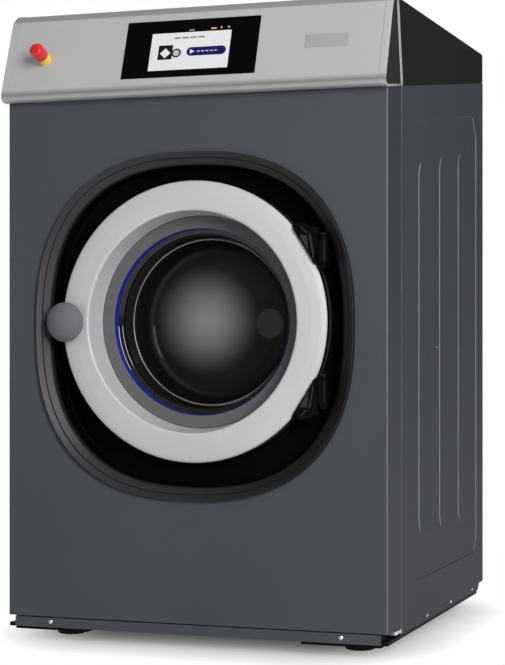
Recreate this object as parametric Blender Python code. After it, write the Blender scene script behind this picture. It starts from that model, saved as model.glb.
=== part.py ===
"""A front-loading commercial washer, every piece at its real size, in metres.

+X is right, seen from the front, +Y goes to the back and +Z up. Depths are measured from
the front panel's face, heights from the floor and widths from the middle of the machine.
"""

import math
from collections import namedtuple

import bmesh
import bpy
from mathutils import Matrix, Vector

for old in list(bpy.data.objects):
    bpy.data.objects.remove(old, do_unlink=True)

# Fits and mesh fineness
GAP = 0.0003
OVERRUN = 0.004
SINK = 0.0008
STRAIGHT_share = 0.0001
SIDES_LARGE = 36
SIDES_MEDIUM = 16
SIDES_SMALL = 12
SHARP_ANGLE = math.radians(30)

# Main sizes: the drum sets the tub, and the tub with the motor under it sets the cabinet round them
DRUM_RADIUS = 0.268
DRUM_ROOM = 0.0273
TUB_RADIUS = DRUM_RADIUS + DRUM_ROOM
SIDE_ROOM = 0.0597
MOTOR_Z = 0.165
MOTOR_RADIUS = 0.065
MOTOR_ROOM = 0.0482
AXIS_Z = MOTOR_Z + MOTOR_RADIUS + MOTOR_ROOM + TUB_RADIUS
PANEL_RISE = 0.3965
HOOD_RISE = 0.164

# Main depths: the tub's back sets the bearing housing, the pulley, the shaft and the rear of the cabinet
TUB_BACK = 0.583
HOUSING_LENGTH = 0.072
HOUSING_BACK = TUB_BACK + HOUSING_LENGTH
PULLEY_ROOM = 0.013
PULLEY_FRONT = HOUSING_BACK + PULLEY_ROOM
PULLEY_THICK = 0.024
PULLEY_BACK = PULLEY_FRONT + PULLEY_THICK
SHAFT_PROUD = 0.014
SHAFT_END = PULLEY_BACK + SHAFT_PROUD
REAR_ROOM = 0.0497

# Cabinet
HALF_WIDTH = TUB_RADIUS + SIDE_ROOM
DEPTH = SHAFT_END + REAR_ROOM
SEAM_HEIGHT = AXIS_Z + PANEL_RISE
HEIGHT = SEAM_HEIGHT + HOOD_RISE
SHEET = 0.002
SEAM_DEPTH = 0.091
SEAM_SLOPE_share = 0.1382
PANEL_BOTTOM = 0.044
PANEL_BEND = 0.004
PANEL_BEND_STEPS = 3

# Base frame: a lower tier that shows under the panels, and a wider upper tier inside them
BASE_SETBACK = 0.013
BASE_HALF_WIDTH = HALF_WIDTH - BASE_SETBACK
BASE_FRONT = 0.0045
BASE_REAR_ROOM = 0.0392
BASE_REAR = DEPTH - BASE_REAR_ROOM
BASE_BOTTOM = 0.024
BASE_STEP = 0.0445
BASE_TOP = 0.058
BASE_BAR = 0.040
BASE_WALL = 0.003
RAIL_INNER = 0.135
RAIL_OUTER = 0.205
CORNER_PLATE_WIDTH = 0.142
CORNER_PLATE_INNER = BASE_HALF_WIDTH - CORNER_PLATE_WIDTH
CORNER_PLATE_LENGTH = 0.1375
CORNER_PLATE_BOTTOM = 0.0195
CORNER_PLATE_THICK = 0.007

# Levelling feet
FOOT_INSET = 0.065
FOOT_X = BASE_HALF_WIDTH - FOOT_INSET
FOOT_FRONT = 0.104
FOOT_REAR_INSET = 0.1045
FOOT_REAR = BASE_REAR - FOOT_REAR_INSET
FOOT_RADIUS = 0.026
FOOT_EDGE = 0.003
FOOT_HEIGHT = 0.012
FOOT_STEM_RADIUS = 0.006
FOOT_STEM_TOP = 0.045

# Side panels, with a pressed field and three raised ribs
SIDE_BOTTOM = 0.030
SIDE_NOTCH_WIDTH = 0.0367
SIDE_NOTCH_SLOPE = 0.011
SIDE_NOTCH_END = DEPTH - SIDE_NOTCH_WIDTH
SIDE_NOTCH_START = SIDE_NOTCH_END - SIDE_NOTCH_SLOPE
SIDE_NOTCH_TOP = 0.0425
FIELD_DEEP = 0.0015
FIELD_MARGIN = 0.010
FIELD_BACKING = 0.0035
FIELD_REAR_DROP = 0.180
FIELD_PEAK_DROP = 0.141
FIELD_FRONT_DROP = 0.206
FIELD_REAR_ROOM = 0.065
FIELD_FOOT_ROOM = 0.0887
FIELD_PEAK_ROOM = 0.0967
FIELD_OUTLINE = (
    (0.186, 0.112),
    (DEPTH - FIELD_FOOT_ROOM, 0.112),
    (DEPTH - FIELD_REAR_ROOM, 0.140),
    (DEPTH - FIELD_REAR_ROOM, HEIGHT - FIELD_REAR_DROP),
    (DEPTH - FIELD_PEAK_ROOM, HEIGHT - FIELD_PEAK_DROP),
    (0.186, HEIGHT - FIELD_FRONT_DROP),
)
RIB_FRONTS = (0.218, 0.3766, 0.5324)
RIB_BOTTOMS = (0.187, 0.184, 0.1825)
RIB_TOP_DROPS = (0.266, 0.242, 0.220)
RIB_WIDTH = 0.095
RIB_CORNER = 0.035
RIB_CORNER_STEPS = 3

# Rear panel and hood
REAR_BOTTOM = 0.045
REAR_TOP_DROP = 0.049
REAR_TOP = HEIGHT - REAR_TOP_DROP
REAR_FACE = DEPTH - SHEET
FASCIA_REAR_TOP = 0.0625
LID_SIDE_ROOM = 0.055
LID_WIDTH = 0.260
LID_OPENING_LEFT = LID_SIDE_ROOM - HALF_WIDTH
LID_OPENING_RIGHT = LID_OPENING_LEFT + LID_WIDTH
LID_REAR_ROOM = 0.1257
LID_LENGTH = 0.200
LID_OPENING_REAR = DEPTH - LID_REAR_ROOM
LID_OPENING_FRONT = LID_OPENING_REAR - LID_LENGTH

# Fascia, a slanted box section with a rolled lower lip: (depth, height) round it
FASCIA_LIP_BACK_DROP = 0.1637
FASCIA_LIP_BULGE_DROP = 0.1684
FASCIA_FACE_FOOT_DROP = 0.144
FASCIA_FACE_TOP_DROP = 0.015
FASCIA_SEAM_DROP = 0.1512
FASCIA_LIP_BACK = (0.0012, HEIGHT - FASCIA_LIP_BACK_DROP)
FASCIA_LIP_BULGE = (-0.0315, HEIGHT - FASCIA_LIP_BULGE_DROP)
FASCIA_FACE_FOOT = (-0.0227, HEIGHT - FASCIA_FACE_FOOT_DROP)
FASCIA_FACE_TOP = (0.0241, HEIGHT - FASCIA_FACE_TOP_DROP)
FASCIA_CREST = (0.0444, HEIGHT)
FASCIA_REAR = (FASCIA_REAR_TOP, HEIGHT)
FASCIA_SEAM = (0.0911, HEIGHT - FASCIA_SEAM_DROP)
FASCIA_LIP_STEPS = 4
FASCIA_WALL = 0.004
CAP_PROUD = 0.003
CAP_THICK = 0.012
CAP_OUTER = HALF_WIDTH + CAP_PROUD
CAP_INNER = CAP_OUTER - CAP_THICK
CAP_POCKET = 0.003
CAP_RIM_FRONT = 0.0045
CAP_RIM_TOP = 0.004
CAP_RIM_REAR = 0.012
CAP_RIM_BOTTOM = 0.003
INSERT_PROUD = -0.0005

# Screen, set in the fascia; heights run up its face from the face's foot
SCREEN_X = -0.002
SCREEN_UP = 0.0675
GLASS_HALF_WIDTH = 0.125
GLASS_HALF_HEIGHT = 0.056
GLASS_THICK = 0.0022
DISPLAY_HALF_WIDTH = 0.110
DISPLAY_HALF_HEIGHT = 0.045
DISPLAY_DEPTH = 0.0255
WINDOW_MARGIN = 0.004

# Emergency stop: a red mushroom button over a yellow collar
ESTOP_INSET = 0.065
ESTOP_X = ESTOP_INSET - CAP_INNER
ESTOP_UP = 0.0585
ESTOP_COLLAR_RADIUS = 0.0115
ESTOP_COLLAR_LENGTH = 0.0245
ESTOP_THREAD_RADIUS = 0.0105
ESTOP_THREAD_LENGTH = 0.020
ESTOP_NUT_RADIUS = 0.014
ESTOP_NUT_THICK = 0.005
ESTOP_CAP_RADIUS = 0.0130
ESTOP_CAP_TIP = 0.045
ESTOP_CAP_CROWN = 0.0438
ESTOP_CAP_CROWN_RADIUS = 0.009
ESTOP_CAP_SHOULDER = 0.038
ESTOP_CAP_RIM = 0.0165
ESTOP_CAP_FLOOR = 0.030

# Door opening: a rounded-square bezel and dish, both made of (inset, depth) loops
BEZEL_HALF_WIDTH = 0.2975
BEZEL_HALF_HEIGHT = 0.306
BEZEL_DROP = 0.008
BEZEL_Z = AXIS_Z - BEZEL_DROP
BEZEL_ROUNDNESS_share = 2.5
BEZEL_SEAT_INSET = 0.0065
BEZEL_BACK_INSET = 0.0180
BEZEL_BACK = 0.0170
BEZEL_SECTION = (
    (0, -GAP),
    (0.0015, -0.006),
    (0.0045, -0.009),
    (0.0085, -0.009),
    (0.0100, -0.0055),
    (0.0120, -0.0065),
    (BEZEL_BACK_INSET, 0.0150),
    (0.0165, BEZEL_BACK),
    (BEZEL_SEAT_INSET, 0.0040),
    (BEZEL_SEAT_INSET, -GAP),
)
DISH_FLOOR = 0.045
DISH_BACK = 0.048
DISH_HOLE_RADIUS = 0.207
DISH_INNER = ((0.0185, BEZEL_BACK + GAP), (0.0190, 0.042), (0.0215, DISH_FLOOR))
DISH_OUTER = ((0.0185, DISH_BACK), (0.0160, 0.044), (0.0155, BEZEL_BACK + GAP))

# Drum axis, shared by the door, the tub and the drum
AXIS = (0, 0, AXIS_Z)

# Hinge: heights are above the drum axis, for the upper half, and mirrored below it
HINGE_X = 0.243
HINGE_Y = -0.006
PIN_RADIUS = 0.004
PIN_HEAD_RADIUS = 0.006
PIN_HEAD_THICK = 0.002
PIN_PROUD = 0.001
EAR_RADIUS = 0.0072
EAR_BACK_REACH = 0.0045
EAR_SHOULDER = 0.012
EAR_LOW = 0.0927
EAR_HIGH = 0.1403
EAR_THICK = 0.008
EAR_ARC_STEPS = 8
WEB_FRONT = 0.0140
WEB_THICK = 0.005
STRAP_FRONT = 0.040
KNUCKLE_RADIUS = 0.008
KNUCKLE_BORE_CLEARANCE = 0.0005
ARM_FRONT = -0.002
ARM_BACK = 0.012
ARM_OUTER_X = 0.2330
ARM_OUTLINE = ((0.185, 0.1646), (0.200, 0.170), (ARM_OUTER_X, 0.160), (ARM_OUTER_X, 0.0945), (0.228, 0.097))
ARM_TAB_INNER_X = 0.222
RING_CUT_GAP = 0.0006

# Door: turned pieces given as (radius, depth) round their section
RING_RADIUS = 0.2475
RING_FRONT = -0.0062
RING_BACK = 0.030
RING_LIP_RADIUS = 0.1887
RING_SECTION = (
    (RING_LIP_RADIUS, 0.0470),
    (0.1945, -0.004),
    (0.1965, -0.006),
    (0.200, RING_FRONT),
    (0.222, -0.0035),
    (0.240, 0.0015),
    (0.246, 0.006),
    (RING_RADIUS, 0.010),
    (RING_RADIUS, RING_BACK),
    (0.243, RING_BACK),
    (0.243, 0.011),
    (0.238, 0.0065),
    (0.220, 0.001),
    (0.2005, -0.0015),
    (0.1985, 0.000),
    (0.1935, 0.045),
)
TRIM_INNER_RADIUS = 0.1662
TRIM_FRONT = 0.045
GLASS_FLANGE_FRONT = 0.0493
GLASS_FLANGE_THICK = 0.005
GLASS_FLANGE_RADIUS = 0.186
ACCENT_INNER_RADIUS = 0.1605
ACCENT_FRONT = 0.0465
GLASS_FLANGE_BACK = GLASS_FLANGE_FRONT + GLASS_FLANGE_THICK
GLASS_SECTION = (
    (GLASS_FLANGE_RADIUS, GLASS_FLANGE_FRONT),
    (0.1600, GLASS_FLANGE_FRONT),
    (0.1585, 0.052),
    (0.151, 0.093),
    (0.136, 0.141),
    (0.118, 0.1495),
    (0.060, 0.1545),
    (0, 0.156),
    (0, 0.161),
    (0.061, 0.1595),
    (0.121, 0.1545),
    (0.1405, 0.1445),
    (0.1560, 0.095),
    (0.1645, GLASS_FLANGE_BACK),
    (GLASS_FLANGE_RADIUS, GLASS_FLANGE_BACK),
)
PLATE_FRONT = RING_BACK + GAP
PLATE_THICK = 0.004
PLATE_CLAMP = GLASS_FLANGE_BACK + GAP
PLATE_BACK = PLATE_CLAMP + 0.005
PLATE_SECTION = (
    (0.2465, PLATE_FRONT),
    (0.2465, PLATE_FRONT + PLATE_THICK),
    (0.2010, PLATE_FRONT + PLATE_THICK),
    (0.2000, PLATE_BACK),
    (0.1680, PLATE_BACK),
    (0.1680, PLATE_CLAMP),
    (0.1960, PLATE_CLAMP),
    (0.1965, PLATE_FRONT),
)

# Door knob: a dished disc on a stem with a T-shaped latch bar
KNOB_X = -0.234
STEM_RADIUS = 0.0058
STEM_BORE_CLEARANCE = 0.0005
STEM_END = 0.062
KNOB_SECTION = (
    (0, -0.0265),
    (0.026, -0.0275),
    (0.0325, -0.030),
    (0.0354, -0.028),
    (0.0354, -0.022),
    (0.030, -0.019),
    (0.012, -0.0175),
    (0.010, -0.0165),
    (0.010, -0.004),
    (STEM_RADIUS, -0.004),
    (STEM_RADIUS, STEM_END),
    (0, STEM_END),
)
LATCH_HALF_LENGTH = 0.0095
LATCH_HALF_HEIGHT = 0.003
LATCH_FRONT = 0.050
LATCH_BACK = 0.060

# Door lock, behind the dish
LOCK_LEFT = -0.262
LOCK_RIGHT = -0.2178
LOCK_HALF_HEIGHT = 0.028
LOCK_BACK = 0.085
LOCK_MOUTH_RADIUS = 0.0140
LOCK_MOUTH_DEPTH = 0.070
LATCH_HOLE_RADIUS = 0.0155

# Door gasket, a rubber bellows from the dish to the tub: (radius, depth) round its section
GASKET_SECTION = (
    (0.2165, DISH_BACK + GAP),
    (0.2165, 0.0515),
    (0.2085, 0.0515),
    (0.2085, 0.0640),
    (0.1800, 0.0640),
    (0.1930, 0.0810),
    (0.1800, 0.0965),
    (0.1800, 0.0997),
    (0.1765, 0.0997),
    (0.1765, 0.0955),
    (0.1890, 0.0810),
    (0.1730, 0.0620),
    (0.1730, 0.0600),
    (0.2045, 0.0600),
    (0.2045, DISH_BACK + GAP),
)

# Detergent hopper under a lid in the hood
HOPPER_REAR_ROOM = 0.020
HOPPER_REAR = LID_OPENING_REAR - HOPPER_REAR_ROOM
HOPPER_TALL = 0.124
HOPPER_BOTTOM = HEIGHT - HOPPER_TALL
HOPPER_WALL = 0.003
HOPPER_POCKETS = 3
HOPPER_FLANGE = 0.008
LID_GAP = 0.0015
LID_AXIS_INSET = 0.012
LID_AXIS_Y = LID_OPENING_REAR - LID_AXIS_INSET
LID_AXIS_DROP = 0.0085
LID_AXIS_Z = HEIGHT - LID_AXIS_DROP
LID_ROD_RADIUS = 0.003
LID_LUG_HALF = 0.004
LID_LUG_THICK = 0.006
LID_LUG_INSET = 0.041
LID_EAR_INSET = 0.0275
LID_LUG_X = (LID_OPENING_LEFT + LID_LUG_INSET, LID_OPENING_RIGHT - LID_LUG_INSET)
LID_EAR_X = (LID_OPENING_LEFT + LID_EAR_INSET, LID_OPENING_RIGHT - LID_EAR_INSET)
LID_EAR_THICK = 0.005
LID_EAR_HALF = 0.0045

# Pieces on the rear panel
INLET_SIDE_ROOM = 0.175
INLET_DROP = 0.124
INLET_X = HALF_WIDTH - INLET_SIDE_ROOM
INLET_Z = HEIGHT - INLET_DROP
INLET_HALF_WIDTH = 0.065
INLET_HALF_HEIGHT = 0.024
INLET_LENGTH = 0.0757
INLET_FRONT = DEPTH - INLET_LENGTH
SPIGOT_OFFSET = 0.040
SPIGOT_RADIUS = 0.0132
SPIGOT_BORE = 0.009
SPIGOT_PROUD = 0.0243
SPIGOT_END = DEPTH + SPIGOT_PROUD
GLAND_SIDE_ROOM = 0.095
GLAND_DROP = 0.114
GLAND_X = GLAND_SIDE_ROOM - HALF_WIDTH
GLAND_Z = HEIGHT - GLAND_DROP
GLAND_RADIUS = 0.014
GLAND_NECK = 0.010
GLAND_BORE = 0.0055
GLAND_NUT = 0.008
GLAND_PROUD = 0.0193
GLAND_END = DEPTH + GLAND_PROUD
INVERTER_SIDE_ROOM = 0.025
INVERTER_WIDTH = 0.150
INVERTER_RIGHT = HALF_WIDTH - INVERTER_SIDE_ROOM
INVERTER_LEFT = INVERTER_RIGHT - INVERTER_WIDTH
INVERTER_DEPTH = 0.0464
INVERTER_DROP = 0.194
INVERTER_TALL = 0.200
INVERTER_TOP = HEIGHT - INVERTER_DROP
INVERTER_BOTTOM = INVERTER_TOP - INVERTER_TALL
DRAIN_SIDE_ROOM = 0.155
DRAIN_X = HALF_WIDTH - DRAIN_SIDE_ROOM
DRAIN_Z = 0.100
DRAIN_BODY_RADIUS = 0.040
DRAIN_BODY_ROOM = 0.0557
DRAIN_BODY_LENGTH = 0.080
DRAIN_BODY_BACK = DEPTH - DRAIN_BODY_ROOM
DRAIN_BODY_FRONT = DRAIN_BODY_BACK - DRAIN_BODY_LENGTH
DRAIN_PIPE_RADIUS = 0.038
DRAIN_FLANGE_RADIUS = 0.045
DRAIN_FLANGE_THICK = 0.006
DRAIN_BORE = 0.034
DRAIN_BORE_LENGTH = 0.080
DRAIN_PROUD = 0.0343
DRAIN_END = DEPTH + DRAIN_PROUD
DRAIN_BORE_START = DRAIN_END - DRAIN_BORE_LENGTH

# Suspension: four springs and two dampers between the base and the tub's cradle
SPRING_X = 0.170
SPRING_FRONT = 0.190
SPRING_REAR_INSET = 0.033
SPRING_REAR = TUB_BACK - SPRING_REAR_INSET
SPRING_RADIUS = 0.0270
SPRING_WIRE = 0.005
SPRING_TURNS = 4
SPRING_STEPS = 8
SPRING_SIDES = 5
DAMPER_Y = 0.370
DAMPER_RADIUS = 0.020
DAMPER_BORE = 0.0105
DAMPER_TOP = 0.150
DAMPER_FLOOR = 0.062
DAMPER_ROD_RADIUS = 0.0100
DAMPER_ROD_BOTTOM = 0.080

# Tub, its cradle and its weight
TUB_WALL = 0.003
TUB_FRONT = 0.100
TUB_LIP_RADIUS = 0.175
TUB_RIM_PROUD = 0.0037
TUB_RIM_RADIUS = TUB_RADIUS + TUB_RIM_PROUD
TUB_RIM_BACK = 0.120
TUB_SHAFT_HOLE = 0.0225
CRADLE_HALF_WIDTH = 0.200
CRADLE_FRONT = 0.150
CRADLE_OVERHANG = 0.007
CRADLE_BACK = TUB_BACK + CRADLE_OVERHANG
CRADLE_DROP = 0.0382
CRADLE_BOTTOM = AXIS_Z - TUB_RADIUS - CRADLE_DROP
CRADLE_THICK = 0.003
SADDLE_HALF_WIDTH = 0.190
SADDLE_THICK = 0.012
SADDLE_REAR_INSET = 0.069
SADDLE_FRONTS = (0.194, TUB_BACK - SADDLE_REAR_INSET)
SADDLE_STEPS = 10
HANGER_HALF_WIDTH = 0.030
HANGER_INSET = 0.015
WEIGHT_THICK = 0.0397
WEIGHT_RADIUS = TUB_RADIUS + WEIGHT_THICK
WEIGHT_START = math.radians(55)
WEIGHT_END = math.radians(125)
WEIGHT_STEPS = 8
WEIGHT_FRONT = 0.140
WEIGHT_BACK = 0.300
SHAFT_RADIUS = 0.020
CARTRIDGE_RADIUS = 0.0300
CARTRIDGE_INSET = 0.005
CARTRIDGE_FRONT = TUB_BACK + CARTRIDGE_INSET
CARTRIDGE_BACK = HOUSING_BACK - CARTRIDGE_INSET
HOUSING_BORE = CARTRIDGE_RADIUS + GAP
HOUSING_FLANGE = 0.011
HOUSING_FILLET = 0.006
HOUSING_SECTION = (
    (0.110, TUB_BACK + GAP),
    (0.110, TUB_BACK + HOUSING_FLANGE),
    (0.060, TUB_BACK + HOUSING_FLANGE + HOUSING_FILLET),
    (0.048, HOUSING_BACK),
    (HOUSING_BORE, HOUSING_BACK),
    (HOUSING_BORE, TUB_BACK + GAP),
)

# Drum
DRUM_WALL = 0.002
DRUM_FRONT = 0.128
DRUM_BACK_ROOM = 0.025
DRUM_BACK = TUB_BACK - DRUM_BACK_ROOM
DRUM_MOUTH_RADIUS = 0.182
LIFTERS = 3
LIFTER_FRONT = 0.140
LIFTER_BACK_INSET = 0.013
LIFTER_BACK = DRUM_BACK - LIFTER_BACK_INSET
LIFTER_HALF_WIDTH = 0.028
LIFTER_TIP_HALF_WIDTH = 0.006
LIFTER_FOOT_INSET = 0.0032
LIFTER_SOLE_INSET = 0.0015
LIFTER_TALL = 0.052
LIFTER_OUTLINE = (
    (-LIFTER_HALF_WIDTH, LIFTER_FOOT_INSET - DRUM_RADIUS),
    (0, LIFTER_SOLE_INSET - DRUM_RADIUS),
    (LIFTER_HALF_WIDTH, LIFTER_FOOT_INSET - DRUM_RADIUS),
    (LIFTER_TIP_HALF_WIDTH, LIFTER_TALL - DRUM_RADIUS),
    (-LIFTER_TIP_HALF_WIDTH, LIFTER_TALL - DRUM_RADIUS),
)
SPIDER_HUB_RADIUS = 0.045
SPIDER_HUB_LENGTH = 0.018
SPIDER_ARM_THICK = 0.012
SPIDER_HUB_BACK = DRUM_BACK + SPIDER_HUB_LENGTH
SPIDER_ARM_BACK = DRUM_BACK + SPIDER_ARM_THICK
SPIDER_ARM_INSET = 0.023
SPIDER_ARM_REACH = DRUM_RADIUS - SPIDER_ARM_INSET
SPIDER_ARM_HALF_WIDTH = 0.022

# Drive: motor under the tub, belt to the drum's pulley
MOTOR_AXIS = (0, 0, MOTOR_Z)
ROTOR_RADIUS = 0.0100
MOTOR_BELT_ROOM = 0.058
MOTOR_LENGTH = 0.170
MOTOR_BACK = PULLEY_FRONT - MOTOR_BELT_ROOM
MOTOR_FRONT = MOTOR_BACK - MOTOR_LENGTH
MOTOR_SHOULDER = 0.010
MOTOR_BORE_LENGTH = 0.025
MOTOR_BORE_ROOM = 0.003
MOTOR_BORE_START = MOTOR_BACK - MOTOR_BORE_LENGTH
MOTOR_SECTION = (
    (0, MOTOR_FRONT),
    (0.058, MOTOR_FRONT),
    (MOTOR_RADIUS, MOTOR_FRONT + MOTOR_SHOULDER),
    (MOTOR_RADIUS, MOTOR_BACK - MOTOR_SHOULDER),
    (0.050, MOTOR_BACK),
    (0.0108, MOTOR_BACK),
    (0.0108, MOTOR_BORE_START),
    (0, MOTOR_BORE_START),
)
HANGER_FRONT = MOTOR_FRONT + HANGER_INSET
ROTOR_FRONT = MOTOR_BORE_START + MOTOR_BORE_ROOM
MOTOR_PULLEY_RADIUS = 0.030
DRUM_PULLEY_RADIUS = 0.150
PULLEY_RIM = 0.015
PULLEY_HUB_RADIUS = 0.035
PULLEY_HUB_LEAD = 0.004
PULLEY_HUB_TAIL = 0.008
PULLEY_HUB_FRONT = PULLEY_FRONT - PULLEY_HUB_LEAD
PULLEY_HUB_BACK = PULLEY_BACK + PULLEY_HUB_TAIL
PULLEY_WEB_INSET = 0.008
BELT_MARGIN = 0.002
BELT_THICK = 0.004
BELT_STEPS = 14

Carrier = namedtuple("Carrier", "empty at")


def material(name, colour, metallic, roughness):
    """A Principled material with one colour."""
    made = bpy.data.materials.new(name)
    made.use_nodes = True
    shader = made.node_tree.nodes["Principled BSDF"]
    shader.inputs["Base Color"].default_value = (*colour, 1)
    shader.inputs["Metallic"].default_value = metallic
    shader.inputs["Roughness"].default_value = roughness
    made.diffuse_color = (*colour, 1)
    return made


GREY_PAINT = material("grey_paint", (0.068, 0.074, 0.084), 0.25, 0.45)
HOOD_BLACK = material("hood_black", (0.025, 0.025, 0.025), 0, 0.5)
SATIN_SILVER = material("satin_silver", (0.47, 0.47, 0.48), 0.35, 0.35)
DOOR_SILVER = material("door_silver", (0.55, 0.55, 0.55), 0.2, 0.38)
BLACK_PLASTIC = material("black_plastic", (0.008, 0.008, 0.009), 0, 0.4)
BEZEL_GREY = material("bezel_grey", (0.07, 0.075, 0.085), 0.3, 0.32)
TRIM_GREY = material("trim_grey", (0.14, 0.135, 0.15), 0.1, 0.45)
ACCENT_BLUE = material("accent_blue", (0.004, 0.011, 0.45), 0, 0.35)
DARK_GLASS = material("dark_glass", (0.012, 0.012, 0.014), 0, 0.05)
SCREEN_BLACK = material("screen_black", (0.004, 0.004, 0.005), 0, 0.08)
DISPLAY_WHITE = material("display_white", (0.82, 0.83, 0.86), 0, 0.3)
STOP_RED = material("stop_red", (0.72, 0.012, 0.012), 0, 0.3)
STOP_YELLOW = material("stop_yellow", (0.82, 0.6, 0.1), 0, 0.35)
RUBBER = material("rubber", (0.02, 0.02, 0.02), 0, 0.8)
STEEL = material("steel", (0.55, 0.56, 0.57), 1, 0.3)
CAST_METAL = material("cast_metal", (0.16, 0.17, 0.18), 0.7, 0.55)
WEIGHT_GREY = material("weight_grey", (0.3, 0.3, 0.29), 0, 0.9)
VALVE_WHITE = material("valve_white", (0.75, 0.75, 0.72), 0, 0.45)


def carrier(name, at, parent=None):
    """An empty at a machine position, which carries the pieces that move with it."""
    empty = bpy.data.objects.new(name, None)
    bpy.context.collection.objects.link(empty)
    start = Vector(parent.at) if parent else Vector()
    empty.parent = parent.empty if parent else None
    empty.location = Vector(at) - start
    return Carrier(empty, Vector(at))


def finished(shape):
    """Point all faces of a closed shape outwards."""
    bmesh.ops.recalc_face_normals(shape, faces=shape.faces)
    return shape


def loft(loops, closed=False):
    """Skin over loops with equal numbers of points; the ends are capped, or meet when closed."""
    shape = bmesh.new()
    rings = [[shape.verts.new(point) for point in loop] for loop in loops]
    pairs = list(zip(rings, rings[1:]))
    if closed:
        pairs.append((rings[-1], rings[0]))
    for one, other in pairs:
        for here in range(len(one)):
            there = (here + 1) % len(one)
            shape.faces.new((one[here], one[there], other[there], other[here]))
    if not closed:
        shape.faces.new(rings[0])
        shape.faces.new(rings[-1])
    return finished(shape)


def along(axis, distance, pair):
    """A point that lies `distance` along one axis, with the pair on the other two in order."""
    first, second = pair
    spread = {"X": (distance, first, second), "Y": (first, distance, second), "Z": (first, second, distance)}
    return spread[axis]


def prism(outline, axis, start, end):
    """An outline in the other two axes, carried straight from start to end along one axis."""
    return loft([[along(axis, distance, pair) for pair in outline] for distance in (start, end)])


def block(low, high):
    """A box between two opposite corners."""
    corners = ((low[0], low[1]), (high[0], low[1]), (high[0], high[1]), (low[0], high[1]))
    return prism(corners, "Z", low[2], high[2])


def turned(section, sides, axis="Y", centre=(0, 0, 0)):
    """A closed section of (radius, distance) turned round an axis; radius 0 makes one point."""
    shape = bmesh.new()
    middle = Vector(centre)
    rings = []
    for radius, distance in section:
        count = sides if radius else 1
        angles = [2 * math.pi * step / sides for step in range(count)]
        pairs = [(radius * math.cos(angle), radius * math.sin(angle)) for angle in angles]
        rings.append([shape.verts.new(middle + Vector(along(axis, distance, pair))) for pair in pairs])
    for one, other in zip(rings, rings[1:] + rings[:1]):
        for here in range(sides):
            there = (here + 1) % sides
            near = (one[here % len(one)], one[there % len(one)])
            far = (other[there % len(other)], other[here % len(other)])
            corners = tuple(dict.fromkeys(near + far))
            if len(corners) > 2:
                shape.faces.new(corners)
    return finished(shape)


def rod(radius, sides, axis, start, end, centre=(0, 0, 0)):
    """A plain round bar."""
    return turned(((0, start), (radius, start), (radius, end), (0, end)), sides, axis, centre)


def polar(radius, angle, centre=(0, 0)):
    """The point at an angle on a circle, in two axes."""
    return (centre[0] + radius * math.cos(angle), centre[1] + radius * math.sin(angle))


def arc(radius, start, end, steps, centre=(0, 0)):
    """Points along an arc, both ends included."""
    return [polar(radius, start + (end - start) * step / steps, centre) for step in range(steps + 1)]


def rounded_box(left, bottom, right, top, radius, steps):
    """The outline of a rectangle with round corners."""
    quarter = math.pi / 2
    centres = ((right - radius, bottom + radius), (right - radius, top - radius),
               (left + radius, top - radius), (left + radius, bottom + radius))
    outline = []
    for corner, centre in enumerate(centres):
        outline += arc(radius, (corner - 1) * quarter, corner * quarter, steps, centre)
    return outline


def inset(outline, distances):
    """Move each edge of an outline inwards by its own distance, for an outline that runs clockwise."""
    moved = []
    for here, corner in enumerate(outline):
        before = Vector(corner) - Vector(outline[here - 1])
        after = Vector(outline[(here + 1) % len(outline)]) - Vector(corner)
        before.normalize()
        after.normalize()
        normal_before = Vector((before.y, -before.x))
        normal_after = Vector((after.y, -after.x))
        spread = normal_before.cross(normal_after)
        step_before, step_after = distances[here - 1], distances[here]
        if abs(spread) < STRAIGHT_share:
            moved.append(tuple(Vector(corner) + normal_after * step_after))
            continue
        shift_y = (step_before * normal_after.y - step_after * normal_before.y) / spread
        shift_z = (step_after * normal_before.x - step_before * normal_after.x) / spread
        moved.append((corner[0] + shift_y, corner[1] + shift_z))
    return moved


def place(name, shape, look, on):
    """Make a named piece from a shape in machine coordinates and hang it on its carrier."""
    bmesh.ops.translate(shape, vec=-on.at, verts=shape.verts)
    mesh = bpy.data.meshes.new(name)
    shape.to_mesh(mesh)
    shape.free()
    mesh.materials.append(look)
    mesh.shade_smooth()
    mesh.set_sharp_from_angle(angle=SHARP_ANGLE)
    piece = bpy.data.objects.new(name, mesh)
    bpy.context.collection.objects.link(piece)
    piece.parent = on.empty
    return piece


def combine(piece, shapes, operation, on):
    """Cut shapes from a piece or join them to it, each with its own Boolean modifier."""
    for number, shape in enumerate(shapes):
        helper = place(f"{piece.name}_{operation.lower()}_{number}", shape, piece.data.materials[0], on)
        helper.hide_render = True
        helper.display_type = "WIRE"
        modifier = piece.modifiers.new(helper.name, "BOOLEAN")
        modifier.operation = operation
        modifier.solver = "EXACT"
        modifier.object = helper


def cut(piece, on, *shapes):
    """Take shapes away from a piece."""
    combine(piece, shapes, "DIFFERENCE", on)


def join(piece, on, *shapes):
    """Add shapes to a piece."""
    combine(piece, shapes, "UNION", on)


def seam_height(depth):
    """Height of the slanted line between the grey cabinet and the black hood."""
    return SEAM_HEIGHT + SEAM_SLOPE_share * depth


def rounded_square(inset_by, depth):
    """A loop of the door opening's outline, moved inwards: a superellipse at one depth."""
    power = BEZEL_ROUNDNESS_share
    loop = []
    for step in range(SIDES_LARGE):
        angle = 2 * math.pi * step / SIDES_LARGE
        wide = abs(math.cos(angle) / (BEZEL_HALF_WIDTH - inset_by)) ** power
        high = abs(math.sin(angle) / (BEZEL_HALF_HEIGHT - inset_by)) ** power
        radius = (wide + high) ** (-1 / power)
        x, z = polar(radius, angle, (0, BEZEL_Z))
        loop.append((x, depth, z))
    return loop


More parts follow.
